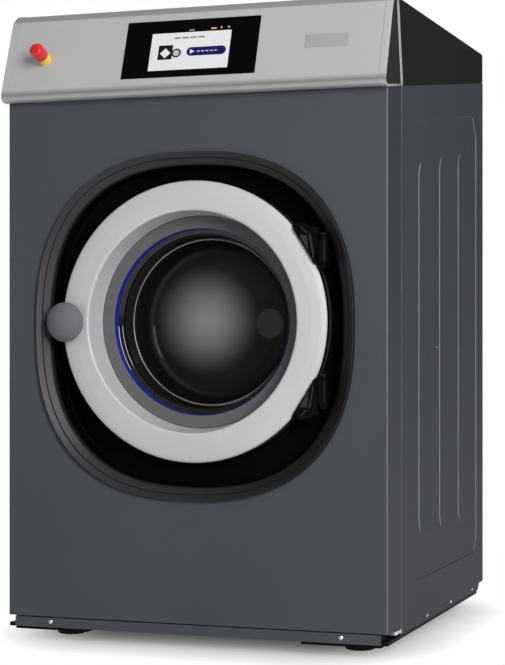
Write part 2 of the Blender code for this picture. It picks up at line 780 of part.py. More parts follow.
def axis_circle(radius, depth):
    """A loop round the drum axis with as many points as the door opening's outline."""
    loop = []
    for step in range(SIDES_LARGE):
        x, z = polar(radius, 2 * math.pi * step / SIDES_LARGE, (0, AXIS_Z))
        loop.append((x, depth, z))
    return loop


def fascia_outline():
    """The fascia's section: a rolled lip, the slanted face, a bevel, the top and the rear edge."""
    start, bulge, end = (Vector(point) for point in (FASCIA_LIP_BACK, FASCIA_LIP_BULGE, FASCIA_FACE_FOOT))
    outline = []
    for step in range(FASCIA_LIP_STEPS + 1):
        share = step / FASCIA_LIP_STEPS
        point = start * (1 - share) ** 2 + bulge * 2 * share * (1 - share) + end * share ** 2
        outline.append(tuple(point))
    return outline + [FASCIA_FACE_TOP, FASCIA_CREST, FASCIA_REAR, FASCIA_SEAM]


def face_frame(x, up):
    """The frame of a piece on the fascia's slanted face: its Y points into the machine."""
    foot = Vector(FASCIA_FACE_FOOT)
    slope = (Vector(FASCIA_FACE_TOP) - foot).normalized()
    spot = foot + slope * up
    turn = Matrix.Rotation(-math.atan2(slope.x, slope.y), 4, "X")
    return Matrix.Translation((x, spot.x, spot.y)) @ turn


def moved(shape, frame):
    """A shape carried into another frame."""
    bmesh.ops.transform(shape, matrix=frame, verts=shape.verts)
    return shape


def base_frame(on):
    """The welded base: a hollow-section frame with two rails and four corner plates for the feet."""
    upper_half = HALF_WIDTH - SHEET - GAP
    window_outer = BASE_HALF_WIDTH - BASE_BAR
    front_window = BASE_FRONT + BASE_BAR
    rear_window = BASE_REAR - BASE_BAR
    roof = BASE_TOP - BASE_WALL
    overlap = BASE_STEP + BASE_WALL
    lower = block((-BASE_HALF_WIDTH, BASE_FRONT, BASE_BOTTOM), (BASE_HALF_WIDTH, BASE_REAR, overlap))
    upper = block((-upper_half, PANEL_BEND + GAP, BASE_STEP), (upper_half, BASE_REAR, BASE_TOP))
    piece = place("base_frame", lower, BLACK_PLASTIC, on)
    join(piece, on, upper)
    under, over = BASE_BOTTOM - OVERRUN, BASE_TOP + OVERRUN
    for left, right in ((-window_outer, -RAIL_OUTER), (-RAIL_INNER, RAIL_INNER), (RAIL_OUTER, window_outer)):
        cut(piece, on, block((left, front_window, under), (right, rear_window, over)))
    ends = (BASE_FRONT + BASE_WALL, BASE_REAR - BASE_WALL)
    for inner, outer in ((RAIL_INNER, RAIL_OUTER), (window_outer, BASE_HALF_WIDTH)):
        near, far = inner + BASE_WALL, outer - BASE_WALL
        cut(piece, on, block((near, ends[0], under), (far, ends[1], roof)))
        cut(piece, on, block((-far, ends[0], under), (-near, ends[1], roof)))
    span = BASE_HALF_WIDTH - BASE_WALL
    cut(piece, on, block((-span, ends[0], under), (span, front_window - BASE_WALL, roof)))
    cut(piece, on, block((-span, rear_window + BASE_WALL, under), (span, ends[1], roof)))
    plate_top = CORNER_PLATE_BOTTOM + CORNER_PLATE_THICK
    for side in (-1, 1):
        for start, foot_y in ((BASE_FRONT, FOOT_FRONT), (BASE_REAR - CORNER_PLATE_LENGTH, FOOT_REAR)):
            near, far = sorted((side * CORNER_PLATE_INNER, side * BASE_HALF_WIDTH))
            end = start + CORNER_PLATE_LENGTH
            join(piece, on, block((near, start, CORNER_PLATE_BOTTOM), (far, end, plate_top)))
            spot = (side * FOOT_X, foot_y, 0)
            cut(piece, on, rod(FOOT_STEM_RADIUS + GAP, SIDES_SMALL, "Z", 0, roof, spot))


def foot(name, on):
    """A levelling foot: a puck on a threaded stem."""
    section = (
        (0, 0),
        (FOOT_RADIUS - FOOT_EDGE, 0),
        (FOOT_RADIUS, FOOT_EDGE),
        (FOOT_RADIUS, FOOT_HEIGHT),
        (FOOT_STEM_RADIUS, FOOT_HEIGHT),
        (FOOT_STEM_RADIUS, FOOT_STEM_TOP),
        (0, FOOT_STEM_TOP),
    )
    place(name, turned(section, SIDES_SMALL, "Z", (on.at.x, on.at.y, 0)), BLACK_PLASTIC, on)


def front_panel(on):
    """The front sheet with two bent returns, its top cut along the slanted seam."""
    quarter = math.pi / 2
    right = HALF_WIDTH - PANEL_BEND
    bend = (right, PANEL_BEND)
    outer = arc(PANEL_BEND, -quarter, 0, PANEL_BEND_STEPS, bend)
    inner = arc(PANEL_BEND - SHEET, 0, -quarter, PANEL_BEND_STEPS, bend)
    half = outer + [(HALF_WIDTH, SEAM_DEPTH), (HALF_WIDTH - SHEET, SEAM_DEPTH)] + inner
    plan = half + [(-x, y) for x, y in reversed(half)]
    bottom = [(x, y, PANEL_BOTTOM) for x, y in plan]
    top = [(x, y, seam_height(y) - GAP) for x, y in plan]
    piece = place("front_panel", loft((bottom, top)), GREY_PAINT, on)
    edge = BEZEL_SEAT_INSET - GAP
    cut(piece, on, loft((rounded_square(edge, -OVERRUN), rounded_square(edge, OVERRUN + SHEET))))


def side_panel(name, side, on):
    """A side sheet with a pressed-in field, a doubled sheet behind it and three raised ribs."""
    inner, outer = HALF_WIDTH - SHEET, HALF_WIDTH
    front, rear = SEAM_DEPTH + GAP, DEPTH
    outline = (
        (front, SIDE_BOTTOM),
        (SIDE_NOTCH_START, SIDE_BOTTOM),
        (SIDE_NOTCH_END, SIDE_NOTCH_TOP),
        (rear, SIDE_NOTCH_TOP),
        (rear, seam_height(rear) - GAP),
        (front, seam_height(front) - GAP),
    )
    piece = place(name, prism(outline, "X", side * inner, side * outer), GREY_PAINT, on)
    backing = inset(FIELD_OUTLINE[::-1], [-FIELD_MARGIN] * len(FIELD_OUTLINE))
    floor = outer - FIELD_DEEP
    join(piece, on, prism(backing, "X", side * (outer - FIELD_BACKING), side * floor))
    cut(piece, on, prism(FIELD_OUTLINE, "X", side * floor, side * (outer + OVERRUN)))
    for start, bottom, drop in zip(RIB_FRONTS, RIB_BOTTOMS, RIB_TOP_DROPS):
        rib = rounded_box(start, bottom, start + RIB_WIDTH, HEIGHT - drop, RIB_CORNER, RIB_CORNER_STEPS)
        join(piece, on, prism(rib, "X", side * (floor - SINK), side * outer))


def rear_panel(on):
    """The rear sheet, with holes for the drain, the water inlets and the cable gland."""
    half = HALF_WIDTH - SHEET - GAP
    front = REAR_FACE - SHEET
    sheet = block((-half, front, REAR_BOTTOM), (half, REAR_FACE, REAR_TOP))
    piece = place("rear_panel", sheet, GREY_PAINT, on)
    holes = (
        (DRAIN_X, DRAIN_Z, DRAIN_PIPE_RADIUS),
        (GLAND_X, GLAND_Z, GLAND_NECK),
        (INLET_X - SPIGOT_OFFSET, INLET_Z, SPIGOT_RADIUS),
        (INLET_X + SPIGOT_OFFSET, INLET_Z, SPIGOT_RADIUS),
    )
    for x, z, radius in holes:
        cut(piece, on, rod(radius + GAP, SIDES_MEDIUM, "Y", front - OVERRUN, REAR_FACE + OVERRUN, (x, 0, z)))


def hood(on):
    """The black hood: top, back and sides above the seam, with an opening for the hopper lid."""
    front, rear = FASCIA_SEAM[0] + GAP, DEPTH + GAP
    outline = (
        (front, seam_height(front)),
        (rear, seam_height(rear)),
        (rear, HEIGHT),
        (FASCIA_REAR_TOP + GAP, HEIGHT),
    )
    piece = place("hood", prism(outline, "X", -HALF_WIDTH, HALF_WIDTH), HOOD_BLACK, on)
    half = HALF_WIDTH - SHEET
    cut(piece, on, block((-half, 0, SEAM_HEIGHT - OVERRUN), (half, rear - SHEET, HEIGHT - SHEET)))
    low = (LID_OPENING_LEFT, LID_OPENING_FRONT, HEIGHT - SHEET - OVERRUN)
    cut(piece, on, block(low, (LID_OPENING_RIGHT, LID_OPENING_REAR, HEIGHT + OVERRUN)))


def fascia(on):
    """The slanted silver box section, pierced for the screen and the emergency stop."""
    outline = fascia_outline()
    hollow = inset(outline, [FASCIA_WALL] * len(outline))
    end = CAP_INNER - GAP
    corners = ((outline, -end), (outline, end), (hollow, end), (hollow, -end))
    loops = [[(x, *pair) for pair in section] for section, x in corners]
    piece = place("fascia", loft(loops, closed=True), SATIN_SILVER, on)
    screen = face_frame(SCREEN_X, SCREEN_UP)
    floor = GLASS_THICK + GAP
    wide, high = GLASS_HALF_WIDTH + GAP, GLASS_HALF_HEIGHT + GAP
    cut(piece, on, moved(block((-wide, -OVERRUN, -high), (wide, floor, high)), screen))
    wide, high = DISPLAY_HALF_WIDTH + WINDOW_MARGIN, DISPLAY_HALF_HEIGHT + WINDOW_MARGIN
    cut(piece, on, moved(block((-wide, 0, -high), (wide, FASCIA_WALL + OVERRUN, high)), screen))
    hole = rod(ESTOP_THREAD_RADIUS + GAP, SIDES_MEDIUM, "Y", -OVERRUN, FASCIA_WALL + OVERRUN)
    cut(piece, on, moved(hole, face_frame(ESTOP_X, ESTOP_UP)))


def cap_rims():
    """How far the end cap's pocket stays inside each edge of the fascia's outline."""
    lip = [CAP_RIM_BOTTOM] * FASCIA_LIP_STEPS
    return lip + [CAP_RIM_FRONT, CAP_RIM_FRONT, CAP_RIM_TOP, CAP_RIM_REAR, CAP_RIM_BOTTOM]


def end_cap(name, side, on):
    """A silver end of the fascia with a shallow pocket."""
    outline = fascia_outline()
    piece = place(name, prism(outline, "X", side * CAP_INNER, side * CAP_OUTER), SATIN_SILVER, on)
    pocket = inset(outline, cap_rims())
    cut(piece, on, prism(pocket, "X", side * (CAP_OUTER - CAP_POCKET), side * (CAP_OUTER + OVERRUN)))


def end_insert(name, side, on):
    """The black plate that fills an end cap's pocket."""
    outline = inset(fascia_outline(), [rim + GAP for rim in cap_rims()])
    start = CAP_OUTER - CAP_POCKET + GAP
    place(name, prism(outline, "X", side * start, side * (CAP_OUTER + INSERT_PROUD)), BLACK_PLASTIC, on)


def screen_glass(on):
    """The screen's cover glass, flush in the fascia."""
    low = (-GLASS_HALF_WIDTH, 0, -GLASS_HALF_HEIGHT)
    high = (GLASS_HALF_WIDTH, GLASS_THICK, GLASS_HALF_HEIGHT)
    place("screen_glass", moved(block(low, high), face_frame(SCREEN_X, SCREEN_UP)), SCREEN_BLACK, on)


def display_module(on):
    """The touch display and its board, behind the glass."""
    front = GLASS_THICK + GAP
    low = (-DISPLAY_HALF_WIDTH, front, -DISPLAY_HALF_HEIGHT)
    high = (DISPLAY_HALF_WIDTH, front + DISPLAY_DEPTH, DISPLAY_HALF_HEIGHT)
    place("display_module", moved(block(low, high), face_frame(SCREEN_X, SCREEN_UP)), DISPLAY_WHITE, on)


def estop_collar(on):
    """The yellow collar, its thread through the fascia and the nut behind the wall."""
    nut_front = FASCIA_WALL + GAP
    nut_back = nut_front + ESTOP_NUT_THICK
    section = (
        (0, -ESTOP_COLLAR_LENGTH),
        (ESTOP_COLLAR_RADIUS, -ESTOP_COLLAR_LENGTH),
        (ESTOP_COLLAR_RADIUS, -GAP),
        (ESTOP_THREAD_RADIUS, -GAP),
        (ESTOP_THREAD_RADIUS, nut_front),
        (ESTOP_NUT_RADIUS, nut_front),
        (ESTOP_NUT_RADIUS, nut_back),
        (ESTOP_THREAD_RADIUS, nut_back),
        (ESTOP_THREAD_RADIUS, ESTOP_THREAD_LENGTH),
        (0, ESTOP_THREAD_LENGTH),
    )
    shape = moved(turned(section, SIDES_MEDIUM), face_frame(ESTOP_X, ESTOP_UP))
    place("estop_collar", shape, STOP_YELLOW, on)


def estop_button(on):
    """The red mushroom cap, hollow over the collar's end."""
    bore = ESTOP_COLLAR_RADIUS + GAP
    section = (
        (0, -ESTOP_CAP_TIP),
        (ESTOP_CAP_CROWN_RADIUS, -ESTOP_CAP_CROWN),
        (ESTOP_CAP_RADIUS, -ESTOP_CAP_SHOULDER),
        (ESTOP_CAP_RADIUS, -ESTOP_CAP_RIM),
        (bore, -ESTOP_CAP_RIM),
        (bore, -ESTOP_CAP_FLOOR),
        (0, -ESTOP_CAP_FLOOR),
    )
    shape = moved(turned(section, SIDES_MEDIUM), face_frame(ESTOP_X, ESTOP_UP))
    place("estop_button", shape, STOP_RED, on)


def door_bezel(on):
    """The moulded frame round the door opening."""
    place("door_bezel", loft([rounded_square(*pair) for pair in BEZEL_SECTION], closed=True), BEZEL_GREY, on)


def door_recess(on):
    """The black dish that the closed door sits in, with the drum opening and the latch hole."""
    loops = [rounded_square(*pair) for pair in DISH_INNER]
    loops += [axis_circle(DISH_HOLE_RADIUS, DISH_FLOOR), axis_circle(DISH_HOLE_RADIUS, DISH_BACK)]
    loops += [rounded_square(*pair) for pair in DISH_OUTER]
    piece = place("door_recess", loft(loops, closed=True), BLACK_PLASTIC, on)
    start, end = DISH_FLOOR - OVERRUN, DISH_BACK + OVERRUN
    cut(piece, on, rod(LATCH_HOLE_RADIUS, SIDES_MEDIUM, "Y", start, end, (KNOB_X, 0, AXIS_Z)))


def hinge_bracket(on):
    """The fixed half of the hinge: a strap with four ears and the webs between each pair."""
    pivot = (HINGE_X, HINGE_Y)
    back = DISH_FLOOR - GAP
    outer = HINGE_X + EAR_BACK_REACH
    front_arc = arc(EAR_RADIUS, -math.pi, 0, EAR_ARC_STEPS, pivot)
    ear = front_arc + [(outer, EAR_SHOULDER), (outer, back), (HINGE_X - EAR_RADIUS, back)]
    top = EAR_HIGH + EAR_THICK
    strap = block((HINGE_X - EAR_RADIUS, STRAP_FRONT, AXIS_Z - top), (outer, back, AXIS_Z + top))
    piece = place("hinge_bracket", strap, BLACK_PLASTIC, on)
    for side in (-1, 1):
        for low in (EAR_LOW, EAR_HIGH):
            start, end = sorted((AXIS_Z + side * low, AXIS_Z + side * (low + EAR_THICK)))
            join(piece, on, prism(ear, "Z", start, end))
        start, end = sorted((AXIS_Z + side * EAR_LOW, AXIS_Z + side * top))
        join(piece, on, block((outer - WEB_THICK, WEB_FRONT, start), (outer, back, end)))
        start, end = start - OVERRUN, end + OVERRUN
        cut(piece, on, rod(PIN_RADIUS + GAP, SIDES_SMALL, "Z", start, end, (HINGE_X, HINGE_Y, 0)))


def hinge_pin(name, bottom, top, on):
    """A hinge pin with a head that rests on the top ear."""
    seat = top + GAP
    section = (
        (0, bottom - PIN_PROUD),
        (PIN_RADIUS, bottom - PIN_PROUD),
        (PIN_RADIUS, seat),
        (PIN_HEAD_RADIUS, seat),
        (PIN_HEAD_RADIUS, seat + PIN_HEAD_THICK),
        (0, seat + PIN_HEAD_THICK),
    )
    place(name, turned(section, SIDES_SMALL, "Z", (HINGE_X, HINGE_Y, 0)), STEEL, on)


def door_lock(on):
    """The lock box behind the dish, with a round mouth for the latch bar."""
    front = DISH_BACK + GAP
    low = (LOCK_LEFT, front, AXIS_Z - LOCK_HALF_HEIGHT)
    high = (LOCK_RIGHT, LOCK_BACK, AXIS_Z + LOCK_HALF_HEIGHT)
    piece = place("door_lock", block(low, high), BLACK_PLASTIC, on)
    mouth = rod(LOCK_MOUTH_RADIUS, SIDES_MEDIUM, "Y", front - OVERRUN, LOCK_MOUTH_DEPTH, (KNOB_X, 0, AXIS_Z))
    cut(piece, on, mouth)


def stem_hole(start, end):
    """A cutter for the knob's stem."""
    radius = STEM_RADIUS + STEM_BORE_CLEARANCE
    return rod(radius, SIDES_SMALL, "Y", start - OVERRUN, end + OVERRUN, (KNOB_X, 0, AXIS_Z))


def arm_outline(side, grown):
    """The wedge of a hinge arm as seen from the front, in x and z."""
    wedge = inset(ARM_OUTLINE, [-grown] * len(ARM_OUTLINE))
    return [(x, AXIS_Z + side * z) for x, z in wedge]


def door_ring(on):
    """The turned silver cover of the door, notched for the two hinge arms."""
    piece = place("door_ring", turned(RING_SECTION, SIDES_LARGE, "Y", AXIS), DOOR_SILVER, on)
    for side in (-1, 1):
        notch = prism(arm_outline(side, RING_CUT_GAP), "Y", RING_FRONT - OVERRUN, RING_BACK + OVERRUN)
        cut(piece, on, notch)
    cut(piece, on, stem_hole(RING_FRONT, RING_BACK))


def flat_ring(inner, outer, front, back, sides):
    """A plain ring round the drum axis."""
    return turned(((inner, front), (outer, front), (outer, back), (inner, back)), sides, "Y", AXIS)


def door_trim_ring(on):
    """The grey ring between the silver cover and the glass."""
    outer, back = RING_LIP_RADIUS - GAP, GLASS_FLANGE_FRONT - GAP
    shape = flat_ring(TRIM_INNER_RADIUS, outer, TRIM_FRONT, back, SIDES_LARGE)
    place("door_trim_ring", shape, TRIM_GREY, on)


def door_accent_ring(on):
    """The thin blue ring against the glass."""
    outer, back = TRIM_INNER_RADIUS - GAP, GLASS_FLANGE_FRONT - GAP
    shape = flat_ring(ACCENT_INNER_RADIUS, outer, ACCENT_FRONT, back, SIDES_LARGE)
    place("door_accent_ring", shape, ACCENT_BLUE, on)


def door_glass(on):
    """The pressed glass bowl that reaches into the drum's mouth."""
    place("door_glass", turned(GLASS_SECTION, SIDES_LARGE, "Y", AXIS), DARK_GLASS, on)


def door_back_plate(on):
    """The door's structural back, which clamps the glass flange from behind."""
    piece = place("door_back_plate", turned(PLATE_SECTION, SIDES_LARGE, "Y", AXIS), BLACK_PLASTIC, on)
    cut(piece, on, stem_hole(PLATE_FRONT, PLATE_BACK))


def hinge_arm(name, side, on):
    """A wedge-shaped arm let into the door's edge, with a tab and a knuckle for the pin."""
    low, high = EAR_LOW + EAR_THICK + GAP, EAR_HIGH - GAP
    start, end = sorted((AXIS_Z + side * low, AXIS_Z + side * high))
    piece = place(name, prism(arm_outline(side, 0), "Y", ARM_FRONT, ARM_BACK), BLACK_PLASTIC, on)
    tab_back = HINGE_Y + KNUCKLE_RADIUS
    join(piece, on, block((ARM_TAB_INNER_X, ARM_FRONT - SINK, start), (HINGE_X, tab_back, end)))
    join(piece, on, rod(KNUCKLE_RADIUS, SIDES_MEDIUM, "Z", start, end, (HINGE_X, HINGE_Y, 0)))
    bore = rod(PIN_RADIUS + KNUCKLE_BORE_CLEARANCE, SIDES_SMALL, "Z", start - OVERRUN, end + OVERRUN,
               (HINGE_X, HINGE_Y, 0))
    cut(piece, on, bore)


def door_handle(on):
    """The round knob with its stem and the latch bar on the stem's end."""
    piece = place("door_handle", turned(KNOB_SECTION, SIDES_MEDIUM, "Y", (KNOB_X, 0, AXIS_Z)), BEZEL_GREY, on)
    low = (KNOB_X - LATCH_HALF_LENGTH, LATCH_FRONT, AXIS_Z - LATCH_HALF_HEIGHT)
    join(piece, on, block(low, (KNOB_X + LATCH_HALF_LENGTH, LATCH_BACK, AXIS_Z + LATCH_HALF_HEIGHT)))


def hopper_pockets():
    """Left and right side of each compartment."""
    inner = LID_OPENING_RIGHT - LID_OPENING_LEFT - HOPPER_WALL * (HOPPER_POCKETS + 1)
    width = inner / HOPPER_POCKETS
    first, pitch = LID_OPENING_LEFT + HOPPER_WALL, width + HOPPER_WALL
    lefts = [first + number * pitch for number in range(HOPPER_POCKETS)]
    return [(left, left + width) for left in lefts]


def hopper_box(on):
    """The detergent box: three compartments, a flange under the hood and the lid's hinge rod."""
    top = HEIGHT - SHEET - GAP
    left, right = LID_OPENING_LEFT, LID_OPENING_RIGHT
    body = block((left, LID_OPENING_FRONT, HOPPER_BOTTOM), (right, HOPPER_REAR, top))
    piece = place("hopper_box", body, VALVE_WHITE, on)
    low = (left - HOPPER_FLANGE, LID_OPENING_FRONT - HOPPER_FLANGE, top - HOPPER_WALL)
    join(piece, on, block(low, (right + HOPPER_FLANGE, HOPPER_REAR, top)))
    for start, end in hopper_pockets():
        low = (start, LID_OPENING_FRONT + HOPPER_WALL, HOPPER_BOTTOM + HOPPER_WALL)
        cut(piece, on, block(low, (end, HOPPER_REAR - HOPPER_WALL, HEIGHT)))
    for x in LID_EAR_X:
        low = (x - LID_EAR_THICK / 2, HOPPER_REAR - SINK, LID_AXIS_Z - LID_EAR_HALF)
        high = (x + LID_EAR_THICK / 2, LID_AXIS_Y + LID_EAR_HALF, LID_AXIS_Z + LID_EAR_HALF)
        join(piece, on, block(low, high))
    join(piece, on, rod(LID_ROD_RADIUS, SIDES_SMALL, "X", *LID_EAR_X, (0, LID_AXIS_Y, LID_AXIS_Z)))


def hopper_lid(on):
    """The lid in the hood's top, with two lugs round the hopper's rod."""
    low = (LID_OPENING_LEFT + LID_GAP, LID_OPENING_FRONT + LID_GAP, HEIGHT - SHEET)
    rear = LID_AXIS_Y + LID_LUG_HALF
    piece = place("hopper_lid", block(low, (LID_OPENING_RIGHT - LID_GAP, rear, HEIGHT)), HOOD_BLACK, on)
    for x in LID_LUG_X:
        low = (x - LID_LUG_THICK / 2, LID_AXIS_Y - LID_LUG_HALF, LID_AXIS_Z - LID_LUG_HALF)
        join(piece, on, block(low, (x + LID_LUG_THICK / 2, rear, HEIGHT - SHEET / 2)))
    bore = rod(LID_ROD_RADIUS + GAP, SIDES_SMALL, "X", *LID_EAR_X, (0, LID_AXIS_Y, LID_AXIS_Z))
    cut(piece, on, bore)


def inlet_valve(on):
    """The twin water inlet, its two spigots reaching out through the rear panel."""
    back = REAR_FACE - SHEET - GAP
    low = (INLET_X - INLET_HALF_WIDTH, INLET_FRONT, INLET_Z - INLET_HALF_HEIGHT)
    body = block(low, (INLET_X + INLET_HALF_WIDTH, back, INLET_Z + INLET_HALF_HEIGHT))
    piece = place("inlet_valve", body, VALVE_WHITE, on)
    for side in (-1, 1):
        centre = (INLET_X + side * SPIGOT_OFFSET, 0, INLET_Z)
        join(piece, on, rod(SPIGOT_RADIUS, SIDES_MEDIUM, "Y", back - OVERRUN, SPIGOT_END, centre))
        cut(piece, on, rod(SPIGOT_BORE, SIDES_SMALL, "Y", back - OVERRUN, SPIGOT_END + OVERRUN, centre))


def cable_gland(on):
    """The empty cable gland in the rear panel."""
    front = REAR_FACE - SHEET - GAP
    back = REAR_FACE + GAP
    section = (
        (GLAND_BORE, front - GLAND_NUT),
        (GLAND_RADIUS, front - GLAND_NUT),
        (GLAND_RADIUS, front),
        (GLAND_NECK, front),
        (GLAND_NECK, back),
        (GLAND_RADIUS, back),
        (GLAND_RADIUS, GLAND_END),
        (GLAND_BORE, GLAND_END),
    )
    place("cable_gland", turned(section, SIDES_MEDIUM, "Y", (GLAND_X, 0, GLAND_Z)), BLACK_PLASTIC, on)


def inverter(on):
    """The motor drive's box on the rear panel."""
    back = REAR_FACE - SHEET - GAP
    low = (INVERTER_LEFT, back - INVERTER_DEPTH, INVERTER_BOTTOM)
    place("inverter", block(low, (INVERTER_RIGHT, back, INVERTER_TOP)), CAST_METAL, on)


def drain_valve(on):
    """The drain valve with its outlet pipe through the rear panel."""
    flange = REAR_FACE - SHEET - GAP
    section = (
        (0, DRAIN_BODY_FRONT),
        (DRAIN_BODY_RADIUS, DRAIN_BODY_FRONT),
        (DRAIN_BODY_RADIUS, DRAIN_BODY_BACK),
        (DRAIN_PIPE_RADIUS, DRAIN_BODY_BACK),
        (DRAIN_PIPE_RADIUS, flange - DRAIN_FLANGE_THICK),
        (DRAIN_FLANGE_RADIUS, flange - DRAIN_FLANGE_THICK),
        (DRAIN_FLANGE_RADIUS, flange),
        (DRAIN_PIPE_RADIUS, flange),
        (DRAIN_PIPE_RADIUS, DRAIN_END),
        (DRAIN_BORE, DRAIN_END),
        (DRAIN_BORE, DRAIN_BORE_START),
        (0, DRAIN_BORE_START),
    )
    place("drain_valve", turned(section, SIDES_MEDIUM, "Y", (DRAIN_X, 0, DRAIN_Z)), BLACK_PLASTIC, on)


def damper_tube(name, side, on):
    """A damper's lower tube, standing on the base rail."""
    section = (
        (0, BASE_TOP + GAP),
        (DAMPER_RADIUS, BASE_TOP + GAP),
        (DAMPER_RADIUS, DAMPER_TOP),
        (DAMPER_BORE, DAMPER_TOP),
        (DAMPER_BORE, DAMPER_FLOOR),
        (0, DAMPER_FLOOR),
    )
    place(name, turned(section, SIDES_MEDIUM, "Z", (side * SPRING_X, DAMPER_Y, 0)), STEEL, on)


def damper_rod(name, side, on):
    """A damper's rod, hanging from the cradle into its tube."""
    shape = rod(DAMPER_ROD_RADIUS, SIDES_MEDIUM, "Z", DAMPER_ROD_BOTTOM, CRADLE_BOTTOM - GAP,
                (side * SPRING_X, DAMPER_Y, 0))
    place(name, shape, STEEL, on)


def spring(name, side, depth, on):
    """A coil spring from the base rail up to the cradle: rings of wire along a helix."""
    low = BASE_TOP + GAP + SPRING_WIRE
    high = CRADLE_BOTTOM - GAP - SPRING_WIRE
    count = SPRING_TURNS * SPRING_STEPS
    loops = []
    for step in range(count + 1):
        angle = 2 * math.pi * step / SPRING_STEPS
        outwards = Vector((math.cos(angle), math.sin(angle), 0))
        middle = Vector((side * SPRING_X, depth, low + (high - low) * step / count))
        centre = middle + outwards * SPRING_RADIUS
        points = arc(SPRING_WIRE, 0, 2 * math.pi, SPRING_SIDES)[:-1]
        loops.append([centre + outwards * out + Vector((0, 0, up)) for out, up in points])
    place(name, loft(loops), STEEL, on)


def door_gasket(on):
    """The rubber bellows between the dish and the tub's mouth."""
    place("door_gasket", turned(GASKET_SECTION, SIDES_LARGE, "Y", AXIS), RUBBER, on)


def tub_shell(on):
    """The outer tub: a drum open at the front, with a hole for the shaft."""
    inner, floor = TUB_RADIUS - TUB_WALL, TUB_BACK - TUB_WALL
    start = TUB_FRONT + TUB_WALL + GAP
    section = (
        (TUB_RADIUS, start),
        (TUB_RADIUS, TUB_BACK),
        (TUB_SHAFT_HOLE, TUB_BACK),
        (TUB_SHAFT_HOLE, floor),
        (inner, floor),
        (inner, start),
    )
    place("tub_shell", turned(section, SIDES_LARGE, "Y", AXIS), STEEL, on)


def tub_front(on):
    """The tub's front ring, lipped over the shell."""
    back, inner = TUB_FRONT + TUB_WALL, TUB_RADIUS + GAP
    section = (
        (TUB_LIP_RADIUS, TUB_FRONT),
        (TUB_RIM_RADIUS, TUB_FRONT),
        (TUB_RIM_RADIUS, TUB_RIM_BACK),
        (inner, TUB_RIM_BACK),
        (inner, back),
        (TUB_LIP_RADIUS, back),
    )
    place("tub_front", turned(section, SIDES_LARGE, "Y", AXIS), STEEL, on)


def bearing_housing(on):
    """The cast cone on the tub's back that holds the bearings."""
    place("bearing_housing", turned(HOUSING_SECTION, SIDES_MEDIUM, "Y", AXIS), CAST_METAL, on)


def bearing_cartridge(on):
    """The bearing pack round the drum shaft."""
    bore = SHAFT_RADIUS + GAP + GAP
    shape = flat_ring(bore, CARTRIDGE_RADIUS, CARTRIDGE_FRONT, CARTRIDGE_BACK, SIDES_MEDIUM)
    place("bearing_cartridge", shape, STEEL, on)


def clear_radius(steps, sweep):
    """Radius for an arc of chords that stays outside the tub's wall."""
    return (TUB_RADIUS + GAP) / math.cos(sweep / steps / 2)


def tub_cradle(on):
    """The plate under the tub with two curved saddles and the motor's hanger."""
    top = CRADLE_BOTTOM + CRADLE_THICK
    low = (-CRADLE_HALF_WIDTH, CRADLE_FRONT, CRADLE_BOTTOM)
    piece = place("tub_cradle", block(low, (CRADLE_HALF_WIDTH, CRADLE_BACK, top)), CAST_METAL, on)
    half_sweep = math.asin(SADDLE_HALF_WIDTH / TUB_RADIUS)
    radius = clear_radius(SADDLE_STEPS, 2 * half_sweep)
    down = -math.pi / 2
    curve = arc(radius, down + half_sweep, down - half_sweep, SADDLE_STEPS, (0, AXIS_Z))
    root = top - SINK
    saddle = curve + [(curve[-1][0], root), (curve[0][0], root)]
    for front in SADDLE_FRONTS:
        join(piece, on, prism(saddle, "Y", front, front + SADDLE_THICK))
    low = (-HANGER_HALF_WIDTH, HANGER_FRONT, MOTOR_Z + MOTOR_RADIUS + GAP)
    join(piece, on, block(low, (HANGER_HALF_WIDTH, CRADLE_BACK, CRADLE_BOTTOM + SINK)))


def counterweight(on):
    """The concrete block over the tub: a sector of a ring."""
    sweep = WEIGHT_END - WEIGHT_START
    inner = arc(clear_radius(WEIGHT_STEPS, sweep), WEIGHT_START, WEIGHT_END, WEIGHT_STEPS, (0, AXIS_Z))
    outer = arc(WEIGHT_RADIUS, WEIGHT_END, WEIGHT_START, WEIGHT_STEPS, (0, AXIS_Z))
    place("counterweight", prism(inner + outer, "Y", WEIGHT_FRONT, WEIGHT_BACK), WEIGHT_GREY, on)


def motor(on):
    """The drive motor's body, bored at the back for its rotor."""
    place("motor", turned(MOTOR_SECTION, SIDES_MEDIUM, "Y", MOTOR_AXIS), CAST_METAL, on)


def motor_pulley(on):
    """The rotor shaft with the small pulley on it."""
    section = (
        (0, ROTOR_FRONT),
        (ROTOR_RADIUS, ROTOR_FRONT),
        (ROTOR_RADIUS, PULLEY_FRONT),
        (MOTOR_PULLEY_RADIUS, PULLEY_FRONT),
        (MOTOR_PULLEY_RADIUS, PULLEY_BACK),
        (0, PULLEY_BACK),
    )
    place("motor_pulley", turned(section, SIDES_MEDIUM, "Y", MOTOR_AXIS), STEEL, on)


def belt_loop(thickness):
    """Points round both pulleys, as far off them as the thickness, in x and z."""
    small, large = MOTOR_PULLEY_RADIUS, DRUM_PULLEY_RADIUS
    lean = math.asin((large - small) / (AXIS_Z - MOTOR_Z))
    top_sweep = math.pi + 2 * lean
    bottom_sweep = math.pi - 2 * lean
    top_radius = (large + GAP + thickness) / math.cos(top_sweep / BELT_STEPS / 2)
    bottom_radius = (small + GAP + thickness) / math.cos(bottom_sweep / BELT_STEPS / 2)
    top = arc(top_radius, -lean, math.pi + lean, BELT_STEPS, (0, AXIS_Z))
    bottom = arc(bottom_radius, math.pi + lean, 2 * math.pi - lean, BELT_STEPS, (0, MOTOR_Z))
    return top + bottom


